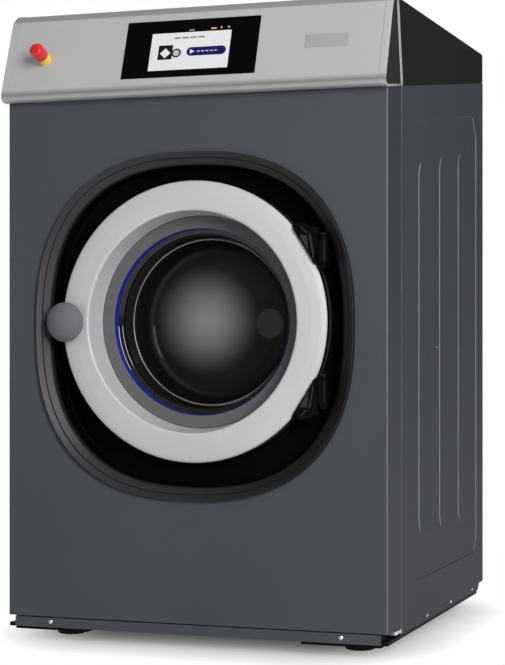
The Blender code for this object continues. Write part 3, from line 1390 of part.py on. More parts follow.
def drive_belt(on):
    """The flat belt round the motor's and the drum's pulleys."""
    front, back = PULLEY_FRONT + BELT_MARGIN, PULLEY_BACK - BELT_MARGIN
    inner, outer = belt_loop(0), belt_loop(BELT_THICK)
    corners = ((inner, front), (outer, front), (outer, back), (inner, back))
    loops = [[(x, depth, z) for x, z in loop] for loop, depth in corners]
    place("drive_belt", loft(loops, closed=True), RUBBER, on)


def drum_shell(on):
    """The wash drum with three lifters on its wall."""
    inner = DRUM_RADIUS - DRUM_WALL
    section = (
        (DRUM_MOUTH_RADIUS, DRUM_FRONT),
        (DRUM_RADIUS, DRUM_FRONT),
        (DRUM_RADIUS, DRUM_BACK),
        (0, DRUM_BACK),
        (0, DRUM_BACK - DRUM_WALL),
        (inner, DRUM_BACK - DRUM_WALL),
        (inner, DRUM_FRONT + DRUM_WALL),
        (DRUM_MOUTH_RADIUS, DRUM_FRONT + DRUM_WALL),
    )
    piece = place("drum_shell", turned(section, SIDES_LARGE, "Y", AXIS), STEEL, on)
    for number in range(LIFTERS):
        turn = Matrix.Rotation(2 * math.pi * number / LIFTERS, 4, "Y")
        lifter = moved(prism(LIFTER_OUTLINE, "Y", LIFTER_FRONT, LIFTER_BACK), Matrix.Translation(AXIS) @ turn)
        join(piece, on, lifter)


def drum_spider(on):
    """The cast spider on the drum's back and the shaft that turns it."""
    front = DRUM_BACK + GAP
    section = (
        (0, front),
        (SPIDER_HUB_RADIUS, front),
        (SPIDER_HUB_RADIUS, SPIDER_HUB_BACK),
        (SHAFT_RADIUS, SPIDER_HUB_BACK),
        (SHAFT_RADIUS, SHAFT_END),
        (0, SHAFT_END),
    )
    piece = place("drum_spider", turned(section, SIDES_MEDIUM, "Y", AXIS), CAST_METAL, on)
    for number in range(LIFTERS):
        turn = Matrix.Rotation(2 * math.pi * number / LIFTERS, 4, "Y")
        low = (-SPIDER_ARM_HALF_WIDTH, front, -SPIDER_ARM_REACH)
        arm = block(low, (SPIDER_ARM_HALF_WIDTH, SPIDER_ARM_BACK, 0))
        join(piece, on, moved(arm, Matrix.Translation(AXIS) @ turn))


def drum_pulley(on):
    """The large pulley on the drum shaft."""
    bore, rim = SHAFT_RADIUS + GAP, DRUM_PULLEY_RADIUS - PULLEY_RIM
    web_front, web_back = PULLEY_FRONT + PULLEY_WEB_INSET, PULLEY_BACK - PULLEY_WEB_INSET
    section = (
        (bore, PULLEY_HUB_FRONT),
        (PULLEY_HUB_RADIUS, PULLEY_HUB_FRONT),
        (PULLEY_HUB_RADIUS, web_front),
        (rim, web_front),
        (rim, PULLEY_FRONT),
        (DRUM_PULLEY_RADIUS, PULLEY_FRONT),
        (DRUM_PULLEY_RADIUS, PULLEY_BACK),
        (rim, PULLEY_BACK),
        (rim, web_back),
        (PULLEY_HUB_RADIUS, web_back),
        (PULLEY_HUB_RADIUS, PULLEY_HUB_BACK),
        (bore, PULLEY_HUB_BACK),
    )
    place("drum_pulley", turned(section, SIDES_LARGE, "Y", AXIS), CAST_METAL, on)


def cabinet_pieces(on):
    """Everything that stands still."""
    base_frame(on)
    front_panel(on)
    rear_panel(on)
    hood(on)
    fascia(on)
    for name, side in (("left", -1), ("right", 1)):
        side_panel(f"side_panel_{name}", side, on)
        end_cap(f"end_cap_{name}", side, on)
        end_insert(f"end_insert_{name}", side, on)
        damper_tube(f"damper_tube_{name}", side, on)
        spring(f"spring_front_{name}", side, SPRING_FRONT, on)
        spring(f"spring_rear_{name}", side, SPRING_REAR, on)
    screen_glass(on)
    display_module(on)
    estop_collar(on)
    door_bezel(on)
    door_recess(on)
    hinge_bracket(on)
    low, high = EAR_LOW, EAR_HIGH + EAR_THICK
    hinge_pin("hinge_pin_upper", AXIS_Z + low, AXIS_Z + high, on)
    hinge_pin("hinge_pin_lower", AXIS_Z - high, AXIS_Z - low, on)
    door_lock(on)
    door_gasket(on)
    hopper_box(on)
    inlet_valve(on)
    cable_gland(on)
    inverter(on)
    drain_valve(on)


def door_pieces(on):
    """Everything that swings with the door but the knob."""
    door_ring(on)
    door_trim_ring(on)
    door_accent_ring(on)
    door_glass(on)
    door_back_plate(on)
    hinge_arm("hinge_arm_upper", 1, on)
    hinge_arm("hinge_arm_lower", -1, on)


def tub_pieces(on):
    """Everything that floats on the springs but does not turn."""
    tub_shell(on)
    tub_front(on)
    bearing_housing(on)
    bearing_cartridge(on)
    tub_cradle(on)
    motor(on)
    drive_belt(on)
    counterweight(on)
    damper_rod("damper_rod_left", -1, on)
    damper_rod("damper_rod_right", 1, on)


def drum_pieces(on):
    """Everything that turns with the drum."""
    drum_shell(on)
    drum_spider(on)
    drum_pulley(on)


def centre_depth(machine):
    """Slide the machine so that the middle of its whole depth is at y = 0."""
    bpy.context.view_layer.update()
    depths = []
    for piece in bpy.data.objects:
        if piece.type == "MESH" and not piece.hide_render:
            depths += [(piece.matrix_world @ Vector(corner)).y for corner in piece.bound_box]
    machine.empty.location.y = -(min(depths) + max(depths)) / 2


def build():
    """Make the carriers on their joint axes, then every piece on its carrier."""
    machine = carrier("machine", (0, 0, 0))
    cabinet_pieces(machine)
    door = carrier("door", (HINGE_X, HINGE_Y, AXIS_Z), machine)
    door_pieces(door)
    door_handle(carrier("handle", (KNOB_X, 0, AXIS_Z), door))
    estop_spot = face_frame(ESTOP_X, ESTOP_UP).translation
    estop_button(carrier("estop", estop_spot, machine))
    hopper_lid(carrier("hopper_hinge", (0, LID_AXIS_Y, LID_AXIS_Z), machine))
    for end, depth in (("front", FOOT_FRONT), ("rear", FOOT_REAR)):
        for name, side in (("left", -1), ("right", 1)):
            screw = carrier(f"screw_{end}_{name}", (side * FOOT_X, depth, 0), machine)
            foot(f"foot_{end}_{name}", screw)
    tub = carrier("tub", AXIS, machine)
    tub_pieces(tub)
    drum_pieces(carrier("drum", AXIS, tub))
    motor_pulley(carrier("rotor", MOTOR_AXIS, tub))
    centre_depth(machine)


build()
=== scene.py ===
"""How the commercial washing machine looks: its shaped skins, finishes, lamps, floor and camera."""

import math
from itertools import product

import bmesh
import bpy
import numpy as np
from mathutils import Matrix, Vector


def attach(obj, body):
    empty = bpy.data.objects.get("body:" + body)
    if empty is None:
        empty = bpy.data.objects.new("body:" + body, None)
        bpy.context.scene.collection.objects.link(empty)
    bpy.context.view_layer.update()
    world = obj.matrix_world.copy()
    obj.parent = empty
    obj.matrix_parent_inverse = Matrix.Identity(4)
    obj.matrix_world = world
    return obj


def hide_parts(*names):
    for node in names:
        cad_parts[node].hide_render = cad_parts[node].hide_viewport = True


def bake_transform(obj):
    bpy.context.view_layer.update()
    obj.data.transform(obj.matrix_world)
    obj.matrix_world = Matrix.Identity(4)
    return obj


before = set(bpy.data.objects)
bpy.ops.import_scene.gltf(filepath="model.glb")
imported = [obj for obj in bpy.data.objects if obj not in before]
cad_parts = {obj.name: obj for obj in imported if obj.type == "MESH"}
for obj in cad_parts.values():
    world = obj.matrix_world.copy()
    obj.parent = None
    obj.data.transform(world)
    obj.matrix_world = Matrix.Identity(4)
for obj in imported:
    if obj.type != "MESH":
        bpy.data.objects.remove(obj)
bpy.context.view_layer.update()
bpy.context.scene.view_settings.view_transform = "Standard"

# Places in metres. Depths are measured from the front panel's face, which lies at this Y
FACE_Y = -0.3715
REAR_Y = FACE_Y + 0.7537
HALF_WIDTH = 0.355
AXIS_Z, BEZEL_Z = 0.5735, 0.5655
DRUM_AXIS = (0, AXIS_Z)
# Added to (depth, height) and to (radius, depth) to make the depth a place along Y
DEPTH_FIRST, DEPTH_SECOND = np.array((FACE_Y, 0)), np.array((0, FACE_Y))
KNOB_X = -0.234
HINGE_X, HINGE_DEPTH = 0.243, -0.006
# The fascia's slope as (depth, height), and what stands on it as (x, way up the slope)
FACE_FOOT, FACE_TOP = np.array((-0.0227, 0.99)), np.array((0.0241, 1.119))
FACE_UP = (FACE_TOP - FACE_FOOT) / np.linalg.norm(FACE_TOP - FACE_FOOT)
SCREEN_PLACE, STOP_PLACE, BLANK_PLACE = (-0.002, 0.0675), (-0.281, 0.0585), (0.2475, 0.0675)
GLASS_FRONT = -0.0003
SHARP_DEGREES = 34
# Screws: the radius of the head and how far it stands out
SCREW_RADIUS, SCREW_RISE = 0.0036, 0.0020


def mm(*values):
    """Lengths in millimetres, made metres."""
    return np.array(values) / 1000


def all_round(sides):
    """Angles spaced evenly over a whole turn."""
    return np.linspace(0, 2 * np.pi, sides, endpoint=False)


def quarter(steps):
    """Angles from 0 to 90 degrees."""
    return np.linspace(0, np.pi / 2, steps + 1)


def unit(vectors):
    """Vectors of length one: v / |v|."""
    return vectors / np.linalg.norm(vectors, axis=-1, keepdims=True)


def left_of(ways):
    """Directions turned a quarter to the left."""
    return np.stack((-ways[:, 1], ways[:, 0]), 1)


def way_round(corners):
    """1 for an outline that runs anticlockwise, -1 for one that runs clockwise."""
    after = np.roll(corners, -1, 0)
    return np.sign((corners[:, 0] * after[:, 1] - corners[:, 1] * after[:, 0]).sum())


def numbered(rows, columns, ring, around):
    """The numbers of a grid's points, with the first row or column again where the grid closes."""
    return np.pad(np.arange(rows * columns).reshape(rows, columns), ((0, int(ring)), (0, int(around))), "wrap")


def cells(grid):
    """The four corners of each cell of a grid, in order round it."""
    return np.stack((grid[:-1, :-1], grid[:-1, 1:], grid[1:, 1:], grid[1:, :-1]), 2)


def softened(outline, reach, steps=4, closed=True):
    """Round each corner P of an outline. With A and B a reach away from P on its two edges, or
    0.45 of the edge if that is less: (1 - t)^2 A + 2t(1 - t) P + t^2 B for t from 0 to 1."""
    corners = np.asarray(outline, float)
    back = np.roll(corners, 1, 0) - corners
    ahead = np.roll(corners, -1, 0) - corners
    room = 0.45 * np.minimum(np.linalg.norm(back, axis=1), np.linalg.norm(ahead, axis=1))
    distance = np.minimum(np.broadcast_to(reach, len(corners)), room)[:, None]
    start, end = corners + unit(back) * distance, corners + unit(ahead) * distance
    t = np.linspace(0, 1, steps + 1)[None, :, None]
    curve = start[:, None] * (1 - t) ** 2 + corners[:, None] * 2 * t * (1 - t) + end[:, None] * t ** 2
    if closed:
        return curve.reshape(-1, 2)
    return np.vstack((corners[:1], curve[1:-1].reshape(-1, 2), corners[-1:]))


def drawn_in(outline, distances):
    """An outline moved inwards by each distance d: corner + d (n1 + n2) / (1 + n1.n2), where n1 and
    n2 are the inward normals of the corner's two edges."""
    corners = np.asarray(outline, float)
    if way_round(corners) < 0:
        corners = corners[::-1]
    before, after = left_of(unit(corners - np.roll(corners, 1, 0))), left_of(unit(np.roll(corners, -1, 0) - corners))
    mitre = (before + after) / (1 + (before * after).sum(1, keepdims=True))
    return corners[None] + mitre[None] * np.asarray(distances, float)[:, None, None]


def moved_in(outline, widths):
    """An outline whose edges each move inwards by a width of their own, a row for each row of widths.
    A corner goes to where its two moved edges meet, (d1 n2 - d2 n1) turned a quarter and divided by
    n1 x n2, or straight in by the mean width where the edges are nearly in line."""
    corners = np.asarray(outline, float)
    widths = np.atleast_2d(np.asarray(widths, float))
    after = left_of(unit(np.roll(corners, -1, 0) - corners)) * way_round(corners)
    before = np.roll(after, 1, 0)
    d1, d2 = np.roll(widths, 1, 1), widths
    cross = before[:, 0] * after[:, 1] - before[:, 1] * after[:, 0]
    bent = np.abs(cross) > 0.08
    safe = np.where(bent, cross, 1)
    y = (d1 * after[:, 1] - d2 * before[:, 1]) / safe
    z = (d2 * before[:, 0] - d1 * after[:, 0]) / safe
    straight = unit(before + after)[None] * ((d1 + d2) / 2)[..., None]
    return corners[None] + np.where(bent[None, :, None], np.stack((y, z), -1), straight)


def disc(x, z, radius, sides=40, start=0.0):
    """Corners on a circle: centre + radius (cos a, sin a), from a start angle."""
    a = start + all_round(sides)
    return np.stack((x + radius * np.cos(a), z + radius * np.sin(a)), 1)


def hexagon(x, y, across):
    """The outline of a hexagon, its flats a given way apart."""
    return disc(x, y, across / np.sqrt(3), 6, np.pi / 6)


def oblong(left, low, right, high, radius, steps=8):
    """A rectangle whose corners are quarter circles: centre + radius (cos a, sin a)."""
    quarters = quarter(steps)[None] + np.arange(4)[:, None] * np.pi / 2
    centre = np.array(((right - radius, high - radius), (left + radius, high - radius),
                       (left + radius, low + radius), (right - radius, low + radius)))
    arcs = centre[:, None] + radius * np.stack((np.cos(quarters), np.sin(quarters)), 2)
    return arcs.reshape(-1, 2)


def facing(pairs, along, axis):
    """Rows of points in two axes, set at their place along the third: X takes (y, z), Y takes
    (x, z) and Z takes (x, y)."""
    pairs = np.asarray(pairs, float)
    third = np.broadcast_to(np.asarray(along, float).reshape(-1, 1), pairs.shape[:2])
    return np.insert(pairs, "XYZ".index(axis), third, 2)


def rims(start, end, edge, steps):
    """The rounded rims of a plate, for a from 0 to 90 degrees: shares 1 - sin a of the inset at places
    edge (1 - cos a) from the start, and the same at the end, the other way round."""
    a = quarter(steps)
    way = math.copysign(edge, end - start)
    return (np.concatenate((1 - np.sin(a), 1 - np.cos(a))),
            np.concatenate((start + way * (1 - np.cos(a)), end - way * (1 - np.sin(a)))))


def plate(outline, start, end, edge, axis="Y", steps=4):
    """An outline carried from start to end with rims rounded by edge."""
    share, along = rims(start, end, edge, steps)
    return facing(drawn_in(outline, edge * share), along, axis)


def turned(section, centre, axis="Y", sides=96):
    """A section of (radius, way along the axis) turned about it: centre + radius (cos a, sin a)."""
    section = np.asarray(section, float)
    a = all_round(sides)
    pairs = np.stack((centre[0] + section[:, :1] * np.cos(a), centre[1] + section[:, :1] * np.sin(a)), 2)
    return facing(pairs, section[:, 1], axis)


def spun(section, reach=0.001, centre=DRUM_AXIS, sides=144, closed=False):
    """A section of (radius, depth), softened by a reach and turned about a line that runs back."""
    return turned(softened(section, reach, closed=closed) + DEPTH_SECOND, centre, "Y", sides)


def on_face(points, place):
    """Carry points from the fascia's own frame to the machine: local y runs into the face along its
    normal (up z, minus up y), and local z runs up the slope."""
    x, up = place
    points = np.asarray(points, float)
    foot = FACE_FOOT + FACE_UP * up
    normal = np.array((FACE_UP[1], -FACE_UP[0]))
    y = foot[0] + points[..., 1] * normal[0] + points[..., 2] * FACE_UP[0] + FACE_Y
    z = foot[1] + points[..., 1] * normal[1] + points[..., 2] * FACE_UP[1]
    return np.stack((points[..., 0] + x, y, z), -1)


def placed(name, data):
    """A new object in the scene."""
    made = bpy.data.objects.new(name, data)
    bpy.context.collection.objects.link(made)
    return made


def smoothed(mesh, sharp=SHARP_DEGREES):
    """Smooth shading, broken at edges that bend by more than an angle."""
    mesh.shade_smooth()
    mesh.set_sharp_from_angle(angle=math.radians(sharp))


def solid(name, grid, around=True, ring=False):
    """A closed mesh on a grid of points: each cell between neighbouring rows and columns is a face.
    Columns close round where around is set, rows where ring is set, and open ends get one flat face.
    The map gives each point its length round the row and along the column, in metres."""
    grid = np.asarray(grid, float)
    index = numbered(*grid.shape[:2], ring, around)
    place = grid.reshape(-1, 3)[index]
    u, v = (np.append(0, np.linalg.norm(np.diff(place, axis=way), axis=2).max(1 - way).cumsum()) for way in (1, 0))
    corners = cells(np.stack(np.meshgrid(u, v), -1)).reshape(-1, 2)
    faces = cells(index).reshape(-1, 4).tolist()
    if around and not ring:
        faces += [index[0, :-1].tolist(), index[-1, :-1].tolist()]
    mesh = bpy.data.meshes.new(name)
    mesh.from_pydata(grid.reshape(-1, 3).tolist(), [], faces)
    layer = mesh.uv_layers.new(name="lengths")
    values = np.zeros((len(mesh.loops), 2))
    values[: len(corners)] = corners
    layer.data.foreach_set("uv", values.ravel())
    shape = bmesh.new()
    shape.from_mesh(mesh)
    bmesh.ops.remove_doubles(shape, verts=shape.verts, dist=1e-6)
    bmesh.ops.dissolve_degenerate(shape, edges=shape.edges, dist=1e-7)
    bmesh.ops.recalc_face_normals(shape, faces=shape.faces)
    if shape.calc_volume(signed=True) < 0:
        bmesh.ops.reverse_faces(shape, faces=shape.faces)
    shape.to_mesh(mesh)
    shape.free()
    smoothed(mesh)
    return placed(name, mesh)


def dressed(piece, look, *hides, body="cabinet"):
    """Give a piece its finish, its body and the CAD nodes that it stands for, and keep its flat faces even."""
    piece.data.materials.clear()
    piece.data.materials.append(FINISH[look])
    even = piece.modifiers.new("even_normals", "WEIGHTED_NORMAL")
    even.keep_sharp = True
    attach(piece, body)
    if hides:
        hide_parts(*hides)
    return piece


def skin(name, grid, look, *hides, body="cabinet", **how):
    """One grid as a finished piece."""
    return dressed(solid(name, grid, **how), look, *hides, body=body)


def joined(name, grids, look, *hides, body="cabinet", sharp=SHARP_DEGREES, **how):
    """Several closed grids as one finished piece."""
    parts = [solid(f"{name}.{number}", grid, **how) for number, grid in enumerate(grids)]
    whole = bmesh.new()
    for part in parts:
        whole.from_mesh(part.data)
    whole.to_mesh(parts[0].data)
    whole.free()
    for part in parts[1:]:
        bpy.data.objects.remove(part)
    smoothed(parts[0].data, sharp)
    parts[0].name = parts[0].data.name = name
    return dressed(parts[0], look, *hides, body=body)


def yielding(name, grid, look, hidden, start, end, **how):
    """A soft piece with its finish, hiding the CAD node that it stands for, with its place baked into its mesh. Its
    start and end are not used.
    """
    piece = solid(name, grid, **how)
    piece.data.materials.append(FINISH[look])
    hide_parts(hidden)
    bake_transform(piece)


def bend_highlight_marked(piece, start=0.22):
    """Writes a sheet's share "bend" on its faces: it grows from 0 to 1 as the lesser of |n_x| and -n_y of
    the face's normal goes 0.2 past start, so it marks what turns between front and side. The paint is
    lighter by this share: a painted highlight."""
    mesh = piece.data
    normals = np.empty(len(mesh.polygons) * 3)
    mesh.polygons.foreach_get("normal", normals)
    normals = normals.reshape(-1, 3)
    share = np.clip((np.minimum(np.abs(normals[:, 0]), -normals[:, 1]) - start) / 0.2, 0, 1)
    mesh.attributes.new("bend", "FLOAT", "FACE").data.foreach_set("value", share)
    return piece


def carved(piece, *grids, operation="DIFFERENCE"):
    """Take the space of each closed grid away from a solid, or add it, one after the other."""
    tools = [solid("tool", grid) for grid in grids]
    for tool in tools:
        step = piece.modifiers.new("step", "BOOLEAN")
        step.operation, step.object = operation, tool
    graph = bpy.context.evaluated_depsgraph_get()
    shaped = bpy.data.meshes.new_from_object(piece.evaluated_get(graph))
    piece.modifiers.clear()
    piece.data = shaped
    for tool in tools:
        bpy.data.objects.remove(tool)
    smoothed(shaped)
    return piece


def seen(red, green, blue):
    """The linear colour behind an on-screen one of 0 to 255: ((s + 0.055) / 1.055)^2.4, or s / 12.92
    near black."""
    s = np.array((red, green, blue)) / 255
    return (*np.where(s > 0.04045, ((s + 0.055) / 1.055) ** 2.4, s / 12.92).tolist(), 1.0)


def node(owner, kind, settings=None, **inputs):
    """Add a node; an input that is a socket is linked and any other is set. i0 is the first input."""
    made = owner.node_tree.nodes.new(kind)
    for key, value in (settings or {}).items():
        setattr(made, key, value)
    for key, value in inputs.items():
        socket = made.inputs[int(key[1:])] if key[0] == "i" and key[1:].isdigit() else made.inputs[key]
        if isinstance(value, bpy.types.NodeSocket):
            owner.node_tree.links.new(value, socket)
        else:
            socket.default_value = value
    return made


def reckoned(owner, operation, *values, kind="ShaderNodeMath"):
    """One step of arithmetic on numbers or sockets."""
    inputs = {f"i{number}": value for number, value in enumerate(values)}
    return node(owner, kind, {"operation": operation}, **inputs).outputs[0]


def vector_step(owner, operation, *values):
    """One step of arithmetic on places."""
    return reckoned(owner, operation, *values, kind="ShaderNodeVectorMath")


def length_of(owner, place):
    """How far a place lies from the origin."""
    return node(owner, "ShaderNodeVectorMath", {"operation": "LENGTH"}, i0=place).outputs["Value"]


def place_on(owner, source="Object", axis=None):
    """The place on a piece, or its normal, or one axis of either."""
    place = node(owner, "ShaderNodeTexCoord").outputs[source]
    return node(owner, "ShaderNodeSeparateXYZ", i0=place).outputs[axis] if axis else place


def stretched(finish, source, stretch):
    """The place on the piece, times a stretch along each axis."""
    return node(finish, "ShaderNodeMapping", Vector=place_on(finish, source), Scale=stretch).outputs["Vector"]


def noise(finish, place, scale, detail=3.0):
    """Smooth noise of a place, from 0 to 1."""
    return node(finish, "ShaderNodeTexNoise", Vector=place, Scale=scale, Detail=detail, Roughness=0.55).outputs["Fac"]


def between(owner, value, low, high, to_low, to_high, smooth=False):
    """Carry a value from one range to another and hold it at the ends."""
    made = node(owner, "ShaderNodeMapRange", {"interpolation_type": "SMOOTHSTEP" if smooth else "LINEAR"}, Value=value)
    for name, number in (("From Min", low), ("From Max", high), ("To Min", to_low), ("To Max", to_high)):
        made.inputs[name].default_value = number
    return made.outputs["Result"]


def blended(finish, share, one, other):
    """The colour one where the share is 0 and the other where it is 1. A mix node's inputs 6 and 7
    are its colours, and output 2 is what it makes of them."""
    return node(finish, "ShaderNodeMix", {"data_type": "RGBA"}, i0=share, i6=one, i7=other).outputs[2]


def parts_of(finish):
    """A finish's shader inputs and its links."""
    return finish.node_tree.nodes["Principled BSDF"].inputs, finish.node_tree.links


def recoloured(finish, share, colour):
    """Turn a finish's colour so far to another one by a share."""
    inputs, links = parts_of(finish)
    so_far = inputs["Base Color"].links[0].from_socket
    links.new(blended(finish, share, so_far, seen(*colour)), inputs["Base Color"])


def finish_of(name, colour, other, patch, rough, grain, relief, specular, metal=0, source="Object", stretch=(1, 1, 1)):
    """A finish with soft patches of two near colours and a fine grain, which moves the roughness and
    lifts the surface."""
    finish = bpy.data.materials.new(name)
    finish.use_nodes = True
    inputs, links = parts_of(finish)
    inputs["Specular IOR Level"].default_value = specular
    inputs["Metallic"].default_value = metal
    soft = noise(finish, place_on(finish), patch)
    fine = noise(finish, stretched(finish, source, stretch), grain, 4.0)
    if isinstance(other, int):
        other = [value - other for value in colour]
    mixed = blended(finish, between(finish, soft, 0.35, 0.65, 0, 1), seen(*colour), seen(*other))
    links.new(mixed, inputs["Base Color"])
    links.new(between(finish, fine, 0.3, 0.7, *rough), inputs["Roughness"])
    lift = node(finish, "ShaderNodeBump", Height=fine, Strength=1.0, Distance=relief * 1e-6)
    links.new(lift.outputs["Normal"], inputs["Normal"])
    return finish


def drilled(finish, pitch=0.024):
    """Makes sheet show round holes in rows, each row half a pitch on from the last, dark inside a small
    radius of each hole's centre and pressed in round it."""
    inputs, links = parts_of(finish)
    place = node(finish, "ShaderNodeSeparateXYZ", Vector=stretched(finish, "UV", (1 / pitch, 1 / pitch, 1))).outputs
    shift = reckoned(finish, "MULTIPLY", reckoned(finish, "FLOOR", place["Y"]), 0.5)
    x, y = (reckoned(finish, "SUBTRACT", reckoned(finish, "FRACT", value), 0.5)
            for value in (reckoned(finish, "ADD", place["X"], shift), place["Y"]))
    away = length_of(finish, node(finish, "ShaderNodeCombineXYZ", X=x, Y=y).outputs[0])
    recoloured(finish, between(finish, away, 0.085, 0.105, 1, 0), (18, 18, 19))
    links.new(between(finish, away, 0.085, 0.105, 0.0, 1.0), inputs["Metallic"])
    rim = node(finish, "ShaderNodeBump", Height=between(finish, away, 0.09, 0.17, 0, 1), Distance=0.0007)
    links.new(inputs["Normal"].links[0].from_socket, rim.inputs["Normal"])
    links.new(rim.outputs["Normal"], inputs["Normal"])


def painted_glass_light(finish):
    """Paints light into dark glass as emission: a soft painted highlight over the middle of the bowl, by a smooth
    step of the distance from its centre, a faint painted lift over the dark, a faint painted highlight line where the
    bowl's floor turns into its wall, stronger on the left, and a small round painted reflection on the right. Only what
    faces forwards is lit this way, and only the rim is glossy."""
    inputs, links = parts_of(finish)

    def away(x, above):
        return length_of(finish, node(finish, "ShaderNodeMapping", Vector=place_on(finish), Scale=(1, 0, 1),
                                      Location=(-x, 0, -AXIS_Z - above)).outputs["Vector"])

    radius = away(0, 0)
    # painted light: emission standing in for a soft highlight, a rim line, a round reflection and a faint lift
    painted_soft_highlight = between(finish, away(-0.028, 0.004), 0.0, 0.106, 0.176, 0.0, smooth=True)
    # painted highlight line where the bowl's floor turns into its wall, stronger on the left
    line = reckoned(finish, "MINIMUM", between(finish, radius, 0.127, 0.133, 0, 1),
                    between(finish, radius, 0.133, 0.137, 1, 0))
    line = reckoned(finish, "MULTIPLY", line, between(finish, place_on(finish, axis="X"), -0.09, 0.01, 0.014, 0.001))
    painted_round_reflection = between(finish, away(0.094, -0.002), 0.0255, 0.0275, 0.014, 0)
    painted_lift = between(finish, radius, 0.1, 0.14, 0.007, 0.001)
    total = reckoned(finish, "ADD", reckoned(finish, "ADD", painted_soft_highlight, line), reckoned(finish, "ADD", painted_round_reflection, painted_lift))
    forward = between(finish, place_on(finish, "Normal", "Y"), -0.3, -0.1, 1, 0)
    inputs["Emission Color"].default_value = (1, 1, 1, 1)
    links.new(reckoned(finish, "MULTIPLY", total, forward), inputs["Emission Strength"])
    links.new(between(finish, radius, 0.146, 0.15, 0.03, 0.4), inputs["Specular IOR Level"])


def painted_lip_shade(finish):
    """Paints shade and dark reflections into a satin finish where the fascia's lip rolls under, by a rise and
    fall of the height, and on its top bevel."""
    height = place_on(finish, axis="Z")
    roll = reckoned(finish, "MINIMUM", between(finish, height, 0.9735, 0.9805, 0, 0.85),
                    between(finish, height, 0.9815, 0.9905, 0.85, 0))
    # painted shade: darker on the rolled lip and the top bevel
    recoloured(finish, reckoned(finish, "MAXIMUM", roll, between(finish, height, 1.1185, 1.12, 0, 0.52)),
               (118, 118, 119))


